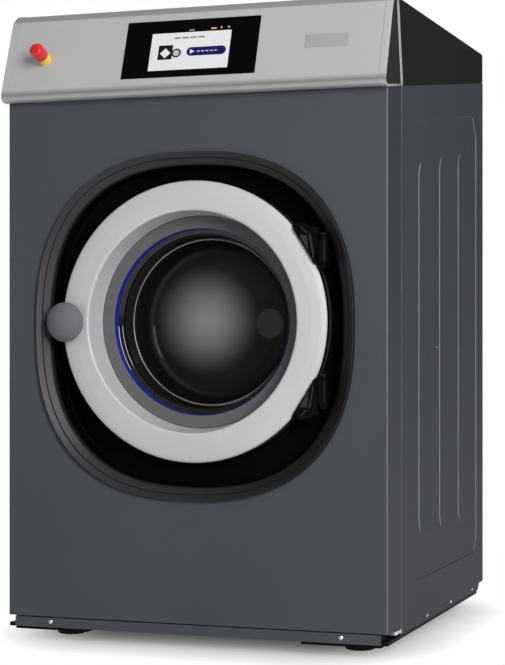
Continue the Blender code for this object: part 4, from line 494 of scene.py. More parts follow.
# Each finish: its name, the slot that it fills if that has another name, its colour as seen on screen, a
# near one or how much darker that is, patch size, roughness, grain, relief in micrometres, specular
# level, share of metal, and the map and stretch of a brushed grain
FINISH, SLOT = {}, {}
for name, slot, *numbers in (
    ("grey_paint", "", (77, 80, 85), 3, 2.2, (0.46, 0.54), 700, 20, 0.05),
    # the side panels' paint is a darker copy of grey_paint: painted shade
    ("side_grey", "grey_paint", (70, 73, 78), 3, 2.2, (0.5, 0.58), 700, 20, 0.03),
    ("hood_black", "", (34, 34, 34), 3, 3.0, (0.55, 0.66), 900, 40, 0.05),
    ("satin_silver", "", (184, 184, 185), 4, 3.5, (0.44, 0.5), 1200, 12, 0.25, 0.1),
    ("door_silver", "", (199, 199, 200), 4, 5, (0.44, 0.5), 900, 5, 0.3, 0.1),
    ("black_plastic", "", (30, 30, 31), 4, 8, (0.48, 0.6), 1300, 50, 0.25),
    ("bezel_grey", "", (50, 50, 53), 4, 5, (0.46, 0.52), 1000, 10, 0.5, 0.5),
    ("knob_grey", "bezel_grey", (108, 110, 116), 6, 14, (0.5, 0.58), 1400, 10, 0.1),
    ("trim_grey", "", (101, 100, 103), 4, 9, (0.44, 0.52), 800, 10, 0.15),
    ("accent_blue", "", (20, 50, 160), (17, 44, 148), 12, (0.3, 0.36), 900, 10, 0.2),
    ("screen_black", "", (8, 8, 9), 2, 10, (0.08, 0.12), 300, 2, 0.03),
    ("display_white", "", (226, 227, 228), (222, 223, 225), 6, (0.3, 0.36), 2400, 2, 0.1),
    ("stop_red", "", (225, 20, 22), (212, 16, 18), 40, (0.22, 0.3), 1600, 10, 0.5),
    ("stop_yellow", "", (238, 206, 80), (230, 196, 66), 40, (0.3, 0.4), 1600, 10, 0.4),
    ("rubber", "", (66, 67, 69), 8, 12, (0.62, 0.78), 900, 60, 0.3),
    ("steel", "", (176, 178, 181), (160, 162, 166), 18, (0.24, 0.36), 900, 10, 0.5, 1.0, "Object", (1, 1, 12)),
    ("cast_metal", "", (120, 122, 125), 16, 26, (0.46, 0.62), 600, 180, 0.5, 0.7),
    ("weight_grey", "", (128, 126, 122), 20, 34, (0.8, 0.95), 340, 600, 0.2),
    ("valve_white", "", (222, 221, 216), (212, 211, 205), 12, (0.4, 0.5), 1100, 30, 0.4),
    ("drum_steel", "steel", (168, 170, 172), (150, 152, 155), 9, (0.22, 0.34), 60, 20, 0.5, 1.0, "UV", (1, 30, 1)),
    ("dark_glass", "", (15, 15, 16), 3, 4, (0.04, 0.07), 40, 2, 0.5),
    ("insert_black", "black_plastic", (37, 37, 38), 4, 7, (0.5, 0.6), 1100, 30, 0.2),
    ("dish_black", "black_plastic", (10, 10, 11), 3, 6, (0.4, 0.52), 1000, 30, 0.02),
    ("arm_black", "black_plastic", (11, 11, 12), 2, 20, (0.34, 0.44), 1500, 20, 0.06),
    # a lighter copy of the black plastic for the hinge facets: painted highlight
    ("facet_painted_highlight_grey", "black_plastic", (58, 58, 60), 8, 30, (0.28, 0.38), 1500, 10, 0.1),
    ("frame_black", "grey_paint", (16, 16, 17), 4, 10, (0.5, 0.62), 900, 40, 0.05),
    ("foot_black", "black_plastic", (24, 24, 25), 6, 30, (0.5, 0.66), 900, 60, 0.25),
    ("pin_black", "black_plastic", (13, 13, 14), 3, 60, (0.3, 0.42), 1500, 10, 0.5, 0.3),
    # a bright grey ring in the glass: painted highlight where the bowl turns inwards
    ("rim_painted_highlight_grey", "door_silver", (128, 128, 130), (116, 116, 119), 20, (0.36, 0.44), 900, 4, 0.5, 0.3),
    ("screw_zinc", "steel", (225, 226, 230), (205, 207, 212), 80, (0.2, 0.32), 1600, 10, 0.5, 0.75),
    ("plate_silver", "satin_silver", (170, 171, 173), 5, 12, (0.34, 0.42), 1300, 4, 0.5, 0.2),
    ("ink_black", "screen_black", (14, 14, 16), 3, 60, (0.3, 0.36), 2400, 1, 0.2),
    ("soft_grey", "display_white", (190, 190, 192), (182, 182, 185), 80, (0.3, 0.36), 2400, 1, 0.2),
    ("step_grey", "display_white", (120, 121, 124), 10, 80, (0.3, 0.36), 2400, 1, 0.2),
    ("navy", "accent_blue", (24, 18, 92), (20, 15, 82), 60, (0.3, 0.36), 2400, 1, 0.2),
    ("signal_orange", "display_white", (235, 170, 110), (228, 158, 96), 90, (0.3, 0.36), 2400, 1, 0.2),
):
    FINISH[name], SLOT[name] = finish_of(name, *numbers), slot or name
drilled(FINISH["drum_steel"])
# the glass's emission is painted light: highlights and a reflection
painted_glass_light(FINISH["dark_glass"])
painted_lip_shade(FINISH["satin_silver"])
red_coat = parts_of(FINISH["stop_red"])[0]
red_coat["Coat Weight"].default_value, red_coat["Coat Roughness"].default_value = 0.3, 0.12

# Painted shade: the surround turns darker towards its right edge. Paint turns to the side panels' darker tone where a
# sheet faces sideways, a painted shade, and lighter where its share "bend" is marked, a painted highlight
BEZEL, PAINT = FINISH["bezel_grey"], FINISH["grey_paint"]
# painted shade: the surround darker towards the right
recoloured(BEZEL, between(BEZEL, place_on(BEZEL, axis="X"), -0.06, 0.18, 0, 1), (30, 30, 32))
# painted shade: sheets that face sideways are painted darker
sideways = reckoned(PAINT, "ABSOLUTE", place_on(PAINT, "Normal", "X"))
recoloured(PAINT, between(PAINT, sideways, 0.8, 0.98, 0, 1), (60, 63, 68))
# painted highlight: paint is lighter where a sheet bends between front and side
for paint in (PAINT, FINISH["side_grey"]):
    bend = node(paint, "ShaderNodeAttribute", {"attribute_name": "bend"}).outputs["Fac"]
    recoloured(paint, bend, (128, 131, 137))

# Finishes of the CAD nodes that stay as they are: these, or the one that their slot names
CAD_LOOKS = {"hinge_pin_upper": "pin_black", "hinge_pin_lower": "pin_black", "hinge_bracket": "dish_black",
             "base_frame": "frame_black"}
for name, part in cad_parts.items():
    for holder in part.material_slots:
        base = holder.material.name.split(".")[0]
        holder.material = FINISH[CAD_LOOKS.get(name, base if base in FINISH else "black_plastic")]


def camera():
    """A long lens at the photograph's viewing angle, level, turned 19 degrees to the left."""
    lens = bpy.data.cameras.new("camera")
    lens.lens, lens.sensor_width, lens.shift_y = 99.99, 36, 0.0117
    holder = placed("camera", lens)
    holder.location = (1.1664, -3.3882, 0.541)
    holder.rotation_euler = (math.radians(90), 0, math.radians(19.2453))
    bpy.context.scene.camera = holder


def softbox(name, place, aim, wide, high, power):
    """A rectangular lamp that faces a point."""
    lamp = bpy.data.lights.new(name, "AREA")
    lamp.shape, lamp.size, lamp.size_y, lamp.energy = "RECTANGLE", wide, high, power
    holder = placed(name, lamp)
    holder.location = place
    holder.rotation_euler = (Vector(aim) - Vector(place)).to_track_quat("-Z", "Y").to_euler()


def rays_of(owner):
    """Shares that are 1 for mirrored or transmitted rays, for those and camera rays, and for camera rays."""
    path = node(owner, "ShaderNodeLightPath").outputs
    mirrored = reckoned(owner, "MAXIMUM", path["Is Glossy Ray"], path["Is Transmission Ray"])
    return mirrored, reckoned(owner, "MAXIMUM", path["Is Camera Ray"], mirrored), path["Is Camera Ray"]


def studio(ambient=0.22, horizon=0.12):
    """A room that lights all round and is white to the camera. Reflections see it as a studio: dark at
    the horizon, bright above it, dark at the ceiling, and dimmer on the left than on the right."""
    world = bpy.data.worlds.new("studio")
    bpy.context.scene.world = world
    world.use_nodes = True
    world.node_tree.nodes.clear()
    mirrored, watched, watched_straight = rays_of(world)
    height = place_on(world, "Generated", "Z")
    level = reckoned(world, "ADD", reckoned(world, "MULTIPLY", height, 0.5), 0.5)
    heights = node(world, "ShaderNodeValToRGB", i0=level)
    first, *stops, last = ((0.0, 0.6), (0.48, 0.4), (0.53, horizon), (0.62, horizon), (0.74, 0.7), (0.88, 0.6),
                           (0.97, 0.3))
    for element, (position, grey) in zip(heights.color_ramp.elements, (first, last)):
        element.position, element.color = position, (grey, grey, grey, 1)
    for position, grey in stops:
        heights.color_ramp.elements.new(position).color = (grey, grey, grey, 1)
    sideways = between(world, place_on(world, "Generated", "X"), -0.6, 0.5, 0.35, 1.0)
    room = reckoned(world, "MULTIPLY", mirrored, reckoned(world, "MULTIPLY", heights.outputs[0], sideways))
    shown = node(world, "ShaderNodeBackground", Color=reckoned(world, "MAXIMUM", room, watched_straight))
    around = node(world, "ShaderNodeBackground", Color=(ambient, ambient, ambient * 1.01, 1))
    mix = node(world, "ShaderNodeMixShader", i0=watched, i1=around.outputs[0], i2=shown.outputs[0])
    node(world, "ShaderNodeOutputWorld", Surface=mix.outputs[0])


def floor(start=(0.19, 0.15, 0), reach=0.24):
    """A round pale floor: rings of points at radius 0.05 + 12 r^2. It keeps the shadow round the machine and
    fades to white by the square of the share of reach that a point lies outside a rectangle of half
    sides start, with y drawn to 0.8."""
    radius = 0.05 + 12 * np.linspace(0, 1, 40)[:, None] ** 2
    a = all_round(72)[None]
    grid = np.stack((radius * np.cos(a), radius * np.sin(a), np.zeros(radius.shape) * a - 0.0005), 2)
    index = numbered(*grid.shape[:2], 0, 1)
    quads = cells(index).reshape(-1, 4)[:, (0, 3, 2, 1)]
    mesh = bpy.data.meshes.new("floor")
    mesh.from_pydata(grid.reshape(-1, 3).tolist(), [], quads.tolist() + [index[0, :-1].tolist()])
    finish = bpy.data.materials.new("pale_floor")
    finish.use_nodes = True
    inputs, links = parts_of(finish)
    for key, value in (("Base Color", (0.62, 0.62, 0.62, 1)), ("Roughness", 0.9), ("Specular IOR Level", 0.0),
                       ("Emission Color", (1, 1, 1, 1))):
        inputs[key].default_value = value
    watched = rays_of(finish)[1]
    links.new(reckoned(finish, "MULTIPLY", watched, 0.08), inputs["Emission Strength"])
    folded = vector_step(finish, "MULTIPLY", vector_step(finish, "ABSOLUTE", place_on(finish)), (1, 0.8, 1))
    past = vector_step(finish, "MAXIMUM", vector_step(finish, "SUBTRACT", folded, start), (0, 0, 0))
    far = reckoned(finish, "POWER", between(finish, length_of(finish, past), 0.0, reach, 0, 1), 2.0)
    mix = node(finish, "ShaderNodeMixShader", i0=reckoned(finish, "MULTIPLY", far, watched),
               i1=finish.node_tree.nodes["Principled BSDF"].outputs[0],
               i2=node(finish, "ShaderNodeEmission").outputs[0])
    links.new(mix.outputs[0], finish.node_tree.nodes["Material Output"].inputs["Surface"])
    mesh.materials.append(finish)
    placed("floor", mesh)


def fascia_corners():
    """The fascia's section from the back of its lip round to the seam, and how far each corner is
    rounded. The rolled lip is the curve (1 - t)^2 A + 2t(1 - t) B + t^2 C."""
    t = np.linspace(0, 1, 18)[:, None]
    back, bulge = np.array((0.0012, 0.9703)), np.array((-0.0315, 0.9656))
    lip = back * (1 - t) ** 2 + bulge * 2 * t * (1 - t) + FACE_FOOT * t ** 2
    rest = np.vstack((FACE_TOP, mm((44.4, 1134), (62.5, 1134), (91.1, 982.8))))
    reach = np.concatenate(((0.0008,), np.zeros(16) + 1e-5, (0.003, 0.0035, 0.006, 0.0008, 0.0006)))
    return np.vstack((lip, rest)) + DEPTH_FIRST, reach


def fascia():
    """The fascia's section carried across the machine, with a shallow seat for the screen."""
    corners, reach = fascia_corners()
    piece = solid("fascia_skin", plate(softened(corners, reach), -0.3457, 0.3457, 0.0004, "X"))
    seat = plate(oblong(-0.1253, -0.0563, 0.1253, 0.0563, 0.0018), -0.004, 0.0016, 0.0001)
    dressed(carved(piece, on_face(seat, SCREEN_PLACE)), "satin_silver", "fascia")


def end_caps():
    """Each end cap is the fascia's section, 0.8 mm proud of it, rounded over a 1.6 mm outer rim and
    stepped down into a pocket. The pocket keeps its own distance from each edge. A black plate with
    rounded rims fills it."""
    corners, reach = fascia_corners()
    borders = mm(*[3] * 17, 4.5, 4.5, 4, 12, 3)
    inner, outer, floor_x, joint, edge, lip, proud = 0.3459, 0.358, 0.3552, 0.0005, 0.0016, 0.0006, -0.0008
    a = quarter(5)
    rise, level = a[:, None], np.zeros(len(borders))
    widths = np.concatenate((
        level[None], proud + joint * (1 - np.sin(rise)) + level, proud + edge * (1 - np.cos(rise)) + level,
        borders - lip * (1 - np.sin(rise)), borders[None]))
    along = np.concatenate(((inner,), inner + joint * (1 - np.cos(a)), outer - edge * (1 - np.sin(a)),
                            outer - lip * (1 - np.cos(a)), (floor_x,)))
    rounded = np.stack([softened(row, np.maximum(reach, 0.0012)) for row in moved_in(corners, widths)])
    pocket = softened(moved_in(corners, borders + 0.0004)[0], 0.0012)
    for side, word in ((-1, "left"), (1, "right")):
        skin(f"end_cap_{word}_skin", facing(rounded, side * along, "X"), "satin_silver", f"end_cap_{word}")
        skin(f"end_insert_{word}_skin", plate(pocket, side * 0.3553, side * 0.3574, 0.0007, "X"), "insert_black",
             f"end_insert_{word}")


def screen():
    """The cover glass and what it shows, each shape a thin plate just in front of it: a white field with
    a tile, a dial, a button bar and a few status lights. Each row ends with its plates' thickness, rim and
    shapes in millimetres: five numbers for an oblong, or a disc's centre, radius and number of corners."""
    glass = plate(oblong(-0.125, -0.056, 0.125, 0.056, 0.0016), 0.0015, GLASS_FRONT, 0.0004)
    skin("screen_skin", on_face(glass, SCREEN_PLACE), "screen_black", "screen_glass")
    dashes = [(x, -8.9, x + 5.2, -7.1, 0.7) for x in (13.5, 21.5, 29.5, 37.5, 45.5)]
    steps = [(x, 18.8, x + 12.5, 21.6, 1.3) for x in (-33, -18, -3, 12)]
    for name, look, thick, rim, *shapes in (
            ("field", "display_white", 0.12, 0.04, (-75, -42.6, 73.5, 30.7, 0.4)),
            ("tile", "ink_black", 0.2, 0.2 / 3, (-59.7, -21.5, -33, 6.7, 1.2)),
            ("diamond", "display_white", 0.28, 0.28 / 3, (-46.3, -9, 9.8, 4)),
            ("dial", "ink_black", 0.24, 0.08, (-25.2, -9.5, 8.8, 40)),
            ("dial_face", "soft_grey", 0.32, 0.32 / 3, (-25.2, -9.5, 5.8, 40)),
            ("bar", "navy", 0.2, 0.2 / 3, (-6.2, -16.5, 67.2, 0.5, 8.4)),
            ("arrow", "display_white", 0.28, 0.28 / 3, (3, -8, 5.6, 3)),
            ("dashes", "display_white", 0.28, 0.1, *dashes),
            ("steps", "step_grey", 0.2, 0.06, *steps),
            ("lights", "soft_grey", 0.2, 0.06, (-6, 33.8, 3.5, 35.5, 0.8), (53.9, 36.8, 1.7, 40), (67.3, 36.8, 2, 40)),
            ("signal", "signal_orange", 0.2, 0.2 / 3, (34.5, 34, 45, 37.2, 1.4))):
        outlines = [oblong(*mm(*shape)) if len(shape) == 5 else disc(*mm(*shape[:3]), shape[3]) for shape in shapes]
        grids = [plate(outline, GLASS_FRONT, GLASS_FRONT - thick / 1000, rim / 1000, steps=2) for outline in outlines]
        joined(f"display_{name}", [on_face(grid, SCREEN_PLACE) for grid in grids], look,
               *(("display_module",) if name == "field" else ()))


def badge_place():
    """The bare place on the fascia's right: a blank plate with rounded corners and rims."""
    grid = plate(oblong(-0.039, -0.0125, 0.039, 0.0125, 0.003), 0.0004, -0.0008, 0.0005)
    skin("blank_plate", on_face(grid, BLANK_PLACE), "plate_silver")


def stop_button():
    """The red cap and the yellow collar, each a section turned about the face's normal."""
    cap = mm((0, -45), (5.5, -44.7), (9.8, -43.2), (12.4, -40), (13, -35.5), (13, -16.5), (11.8, -16.5), (11.8, -30),
             (0, -30))
    collar = mm((0, -24.5), (11, -24.5), (11.5, -24), (11.5, -15), (11, -14.5), (11, -12.5), (11.5, -12), (11.8, -2),
                (12.4, -1), (12.4, 0.2), (10.4, 0.4), (10.4, 20), (0, 20))
    for name, section, look, body, node_name in (("stop_cap", cap, "stop_red", "estop", "estop_button"),
                                                 ("stop_collar", collar, "stop_yellow", "cabinet", "estop_collar")):
        grid = turned(softened(section, 0.0012, closed=False), (0, 0), "Y", 72)
        skin(name, on_face(grid, STOP_PLACE), look, node_name, body=body)


def rounded_square_rows(section, sides=180):
    """Loops of a rounded square, x^n + z^n = 1 in shares of its half sizes with n = 2.5, one for each
    (inset, depth) of the section: radius(a) = (|cos a / w|^n + |sin a / h|^n)^(-1 / n)."""
    section = np.asarray(section, float)
    a = all_round(sides)[None]
    wide, high = 0.2975 - section[:, :1], 0.306 - section[:, :1]
    radius = (np.abs(np.cos(a) / wide) ** 2.5 + np.abs(np.sin(a) / high) ** 2.5) ** (-1 / 2.5)
    pairs = np.stack((radius * np.cos(a), BEZEL_Z + radius * np.sin(a)), 2)
    return facing(pairs, section[:, 1] + FACE_Y, "Y")


def round_piece(name, section, look, *hides, body="door", reach=0.001, sides=144):
    """A closed section softened by a reach and turned about the drum's axis."""
    return skin(name, spun(section, reach, sides=sides, closed=True), look, *hides, body=body, ring=True)


# Sections as (inset or radius, depth), and how far their corners are rounded
BEZEL_SECTION = mm((0, -0.3), (0.6, -8.2), (1.6, -9.2), (10.3, -2), (10.8, -0.2), (11.6, -0.2), (12.1, -2.2),
                   (21.8, 6.2), (23.2, 8.5), (23.8, 17), (21.4, 17), (20.5, 9.5), (11, 3.2), (6.5, 1.5), (6.5, -0.3))
BEZEL_REACH = mm(0.5, 0.6, 0.8, 0.6, 0.3, 0.3, 0.6, 1, 1, 0.4, 0.5, 1, 1, 0.4, 0.4)
RING_SECTION = mm((188.7, 47), (194.5, -4), (196.5, -6), (200, -6.4), (222, -4.8), (238, -2), (245.5, 0.6),
                  (247.5, 3.4), (247.2, 5.8), (244, 5.6), (238, 2.8), (220, -0.2), (200.5, -2), (198.5, -0.5),
                  (193.5, 45))
SKIRT_SECTION = mm((242.8, 5.4), (243.2, 30), (239.5, 30), (239.1, 4.2))
TRIM_SECTION = mm((166.2, 45.8), (167.2, 45), (188.4, 45), (188.4, 49), (166.2, 49))
GLASS_SECTION = mm((186, 49.3), (166.8, 49.3), (166.2, 50.2), (165.6, 60.8), (164, 61.8), (157.5, 64.8), (154.5, 70),
                   (150, 93), (136, 141), (118, 149.5), (60, 154.5), (0, 156), (0, 161), (61, 159.5), (121, 154.5),
                   (140.5, 144.5), (156, 95), (160, 76), (166.8, 70), (167.7, 54.3), (186, 54.3))
GLASS_REACH = mm(*[0.5] * 5, 2, 3, *[12] * 9, 4, 3, 1, 0.5, 0.5)
BLUE_SECTION = mm((166, 46.8), (165.4, 46.3), (164.7, 60), (165.2, 60.2), (165.9, 50))
KNOB_SECTION = mm((0, -37.2), (4, -37), (8, -36.5), (12, -35.6), (16, -34.3), (20, -32.5), (24, -30.3), (27, -28.2),
                  (30, -25.7), (33, -22.8), (35, -20.5), (35.4, -19.2), (34.8, -18), (33, -17.2), (12, -16.5),
                  (10, -15.5), (10, -4), (5.8, -4), (5.8, 62), (0, 62))
PLATE_SECTION = mm((246.5, 30.3), (246.5, 34.3), (201, 34.3), (200, 59.6), (168, 59.6), (168, 54.6), (196, 54.6),
                   (196.5, 30.3))
GASKET_SECTION = mm((216.5, 48.3), (216.5, 51.5), (208.5, 51.5), (208.5, 64), (180, 64), (193, 81), (180, 96.5),
                    (180, 99.7), (176.5, 99.7), (176.5, 95.5), (189, 81), (173, 62), (173, 60), (204.5, 60),
                    (204.5, 48.3))
ARM_OUTLINE = mm((185, 164.6), (200, 170), (233, 160), (233, 94.5), (228, 97))


def door_surround():
    """The frame round the opening is a section carried round the rounded square. The dish behind it
    runs from that square to a circle, and has the latch's round hole."""
    skin("bezel_skin", rounded_square_rows(softened(BEZEL_SECTION, BEZEL_REACH)), "bezel_grey", "door_bezel",
         ring=True)
    wall = softened(mm((23.6, 17.3), (24, 40), (27, 45), (33, 45)), 0.004, closed=False)
    hole = mm((208, 45), (207, 45.5), (207, 48)) + DEPTH_SECOND
    rear = mm((24, 48), (21.5, 44), (21.2, 17.3))
    grid = np.concatenate((rounded_square_rows(wall), turned(hole, DRUM_AXIS, "Y", 180), rounded_square_rows(rear)))
    latch = spun(((0.0155, 0.03), (0.0155, 0.06)), centre=(KNOB_X, AXIS_Z), sides=48)
    dressed(carved(solid("dish_skin", grid, ring=True), latch), "dish_black", "door_recess")


def mirrored(side, outline, widths, depths, reach=0.0):
    """An outline in x and height above the drum's axis, moved in by widths at depths and rounded by a
    reach, for one side of the axis."""
    rows = moved_in(outline, widths)
    rows = np.stack((rows[..., 0], AXIS_Z + side * rows[..., 1]), -1)
    return facing([softened(row, reach) for row in rows] if reach else rows, FACE_Y + np.array(depths), "Y")


def hinge_arms():
    """Each arm is a dark wedge with a raised body, whose front is drawn in by slopes along its outer
    edges, then a flat tab and a round knuckle. A three-cornered facet and a bar along the upper edge,
    coloured lighter as a painted highlight, stand on the raised body."""
    body = mm((186.8, 161.2), (201.2, 164), (220.2, 150.8), (226.2, 116), (227.2, 97.5))
    slopes = mm((0,) * 5, (0,) * 5, (0.8, 2.2, 2.6, 1.4, 0.8))
    facets = (mm((200.3, 147.4), (214, 147.1), (215.8, 121.5)),
              mm((201, 163.2), (203, 162.6), (214.6, 152), (212.8, 150.6)),
              mm((216.8, 149.5), (218.6, 150), (225.2, 114), (226.2, 101), (223.6, 115)))
    for side, word in ((1, "upper"), (-1, "lower")):
        grids = [mirrored(side, ARM_OUTLINE, mm((0,), (0,), (0.6,)), (0.012, -0.0014, -0.002), 0.0005),
                 mirrored(side, body, slopes, (-0.0012, -0.0052, -0.0068), 0.0003)]
        low, high = sorted((AXIS_Z + side * 0.101, AXIS_Z + side * 0.14))
        tab = oblong(0.222, FACE_Y - 0.0028, HINGE_X, FACE_Y + 0.002, 0.0008, 3)
        grids.append(plate(tab, low, high, 0.0006, "Z"))
        barrel = ((0.0, low), (0.0074, low), (0.008, low + 0.0006), (0.008, high - 0.0006), (0.0074, high), (0.0, high))
        grids.append(turned(barrel, (HINGE_X, FACE_Y + HINGE_DEPTH), "Z", 40))
        joined(f"hinge_arm_{word}_skin", grids, "arm_black", f"hinge_arm_{word}", body="door", sharp=20)
        # painted highlight: the facets are a lighter grey where they catch the light
        lights = [mirrored(side, facet, mm((0,), (0,), (0.2,)), (-0.006, -0.007, -0.0072)) for facet in facets]
        joined(f"hinge_facets_{word}", lights, "facet_painted_highlight_grey", body="door", sharp=20)


def door():
    """The door's turned pieces, the silver ring notched for the arms, and a thin bright grey ring where the
    bowl turns inwards: a painted highlight on the glass."""
    ring = solid("ring_skin", spun(RING_SECTION, 0.003, sides=240, closed=True), ring=True)
    notches = [mirrored(side, ARM_OUTLINE, mm((-0.6,), (-0.6,)), (-0.02, 0.04)) for side in (-1, 1)]
    dressed(carved(ring, *notches), "door_silver", "door_ring", body="door")
    round_piece("ring_skirt", SKIRT_SECTION, "dish_black", "door_ring", reach=0.0006)
    round_piece("trim_ring", TRIM_SECTION, "trim_grey", "door_trim_ring")
    round_piece("blue_ring", BLUE_SECTION, "accent_blue", "door_accent_ring", reach=0.0002)
    skin("glass_bowl", spun(GLASS_SECTION, GLASS_REACH), "dark_glass", "door_glass", body="door", ring=True)
    # painted highlight: a thin bright ring where the bowl turns inwards
    round_piece("glass_painted_highlight_ring", disc(0.149, 0.0945, 0.0014, 10), "rim_painted_highlight_grey", reach=1e-5, sides=180)
    round_piece("back_plate_skin", PLATE_SECTION, "black_plastic", "door_back_plate")


def knob():
    """The knob is a section turned about its stem; the latch bar is a plate across the stem's end."""
    stem = spun(KNOB_SECTION, 0.0009, (KNOB_X, AXIS_Z), 96)
    bar = oblong(KNOB_X - 0.0095, AXIS_Z - 0.003, KNOB_X + 0.0095, AXIS_Z + 0.003, 0.0008, 4)
    joined("knob_skin", [stem, plate(bar, FACE_Y + 0.05, FACE_Y + 0.06, 0.0006)], "knob_grey", "door_handle",
           body="handle")


def front():
    """The front sheet is its bent plan carried up to the slanted seam, with the door's opening cut out
    of it. Each bend is an arc of 4 mm."""
    a = np.linspace(-np.pi / 2, 0, 11)
    outer, inner = (np.stack((0.351 + r * np.cos(a), 0.004 + r * np.sin(a)), 1) for r in (0.004, 0.002))
    half = np.vstack((outer, ((HALF_WIDTH, 0.0903), (0.3547, 0.091), (0.353, 0.091)), inner[::-1]))
    plan = np.vstack((half, half[::-1] * (-1, 1)))
    low = np.column_stack((plan[:, 0], plan[:, 1] + FACE_Y, np.full(len(plan), 0.044)))
    high = low.copy()
    high[:, 2] = 0.97 + 0.1382 * plan[:, 1] - 0.0004
    hole = rounded_square_rows(((0.0062, -0.006), (0.0062, 0.01)), 120)
    sheet = carved(solid("front_skin", np.stack((low, high))), hole)
    dressed(bend_highlight_marked(sheet, 0.48), "grey_paint", "front_panel")


def side_sheet(sign, word):
    """A side sheet. Its pressed field is cut out by a tool whose wall leans outwards as it rises, and
    the three ribs are added with walls that lean inwards, so each step is a short slope."""
    outline = mm((91.4, 30), (708, 30), (719, 42.5), (755.7, 42.5), (755.7, 1074.1), (91.4, 982.3)) + DEPTH_FIRST
    field = mm((186, 112), (667, 112), (690.7, 140), (690.7, 954), (659, 993), (186, 928)) + DEPTH_FIRST
    floor_x = 0.3535
    piece = solid(f"side_{word}_skin", plate(softened(outline, 0.002), sign * 0.3505, sign * HALF_WIDTH, 0.0008, "X"))
    grown = mm(0.6, 0, -0.8, -1.6, -2.4, -3, -3.4)
    rise = mm(0, 0.12, 0.5, 1, 1.38, 1.52, 3)
    rows = drawn_in(softened(field, 0.006), grown)
    carved(piece, facing(rows, sign * (floor_x + rise), "X"))
    ribs = []
    for start, low, high in ((0.218, 0.187, 0.868), (0.3766, 0.184, 0.892), (0.5324, 0.1825, 0.914)):
        rib = oblong(start + FACE_Y, low, start + 0.095 + FACE_Y, high, 0.035, 12)
        rows = drawn_in(rib, mm(-2.2, -2.2, -1.6, -0.8, 0, 0.6, 1.4))
        step = mm(-0.6, 0, 0.14, 0.55, 1, 1.36, 1.49)
        ribs.append(facing(rows, sign * (floor_x + step), "X"))
    dressed(bend_highlight_marked(carved(piece, *ribs, operation="UNION")), "side_grey", f"side_panel_{word}")


def hood(rim=0.004):
    """The hood is its side outline carried across, with rims rounded along its top and rear edges and
    sharp ones along the seam, hollowed from below and opened for the lid."""
    outline = mm((91.4, 982.85), (756, 1074.7), (756, 1134), (62.8, 1134)) + DEPTH_FIRST
    share, along = rims(-HALF_WIDTH, HALF_WIDTH, rim, 6)
    widths = np.array((0.08, 1.0, 1.0, 0.08)) * rim * share[:, None]
    rows = [softened(row, (0.0005, 0.0005, 0.006, 0.0008), 6) for row in moved_in(outline, widths)]
    piece = solid("hood_skin", facing(rows, along, "X"))
    room = plate(oblong(-0.353, -0.4, 0.353, 0.3822, 0.001, 2), 0.95, 1.132, 0.0002, "Z")
    opening = plate(oblong(-0.3, 0.43 + FACE_Y, -0.04, 0.63 + FACE_Y, 0.005), 1.12, 1.15, 0.0002, "Z")
    dressed(carved(piece, room, opening), "hood_black", "hood")


def lid():
    """The lid is a plate with rounded rims, a raised grip along its front and two lugs on its rod."""
    cover = oblong(-0.2985, 0.4315 + FACE_Y, -0.0415, 0.622 + FACE_Y, 0.004)
    grip = oblong(-0.205, 0.44 + FACE_Y, -0.135, 0.449 + FACE_Y, 0.004)
    lug = oblong(0.614 + FACE_Y, 1.1215, 0.622 + FACE_Y, 1.133, 0.003, 5)
    grids = [plate(cover, 1.132, 1.1342, 0.0008, "Z"), plate(grip, 1.1335, 1.1385, 0.0016, "Z")]
    grids += [plate(lug, x - 0.003, x + 0.003, 0.0006, "X") for x in (-0.259, -0.081)]
    joined("lid_skin", grids, "hood_black", "hopper_lid", body="lid")


def four(x, front, back):
    """The name and place of what stands once at each corner of the machine."""
    return [(f"{row}_{word}", sign * x, y) for row, y in (("front", front), ("rear", back))
            for word, sign in (("left", -1), ("right", 1))]


def screw_head(place, radius=SCREW_RADIUS, rise=SCREW_RISE, axis="Y", out=-1, sides=24):
    """A pan head: rise (1 - 0.75 (r / R)^2) high at radius r, less a cross-shaped slot at its middle,
    on a short neck."""
    r = np.concatenate((np.linspace(0.0, 1.0, 9), (1.0,)))[:, None]
    a = all_round(sides)[None]
    first, second = radius * r * np.cos(a), radius * r * np.sin(a)
    slot = (np.minimum(np.abs(first), np.abs(second)) < 0.16 * radius) & (np.hypot(first, second) < 0.62 * radius)
    height = rise * (1 - 0.75 * r ** 2) - np.where(slot, 0.45 * rise, 0) * np.ones_like(a)
    height[-1] = -0.0012
    return np.insert(np.stack((first, second), -1), "XYZ".index(axis), out * height, 2) + np.asarray(place, float)


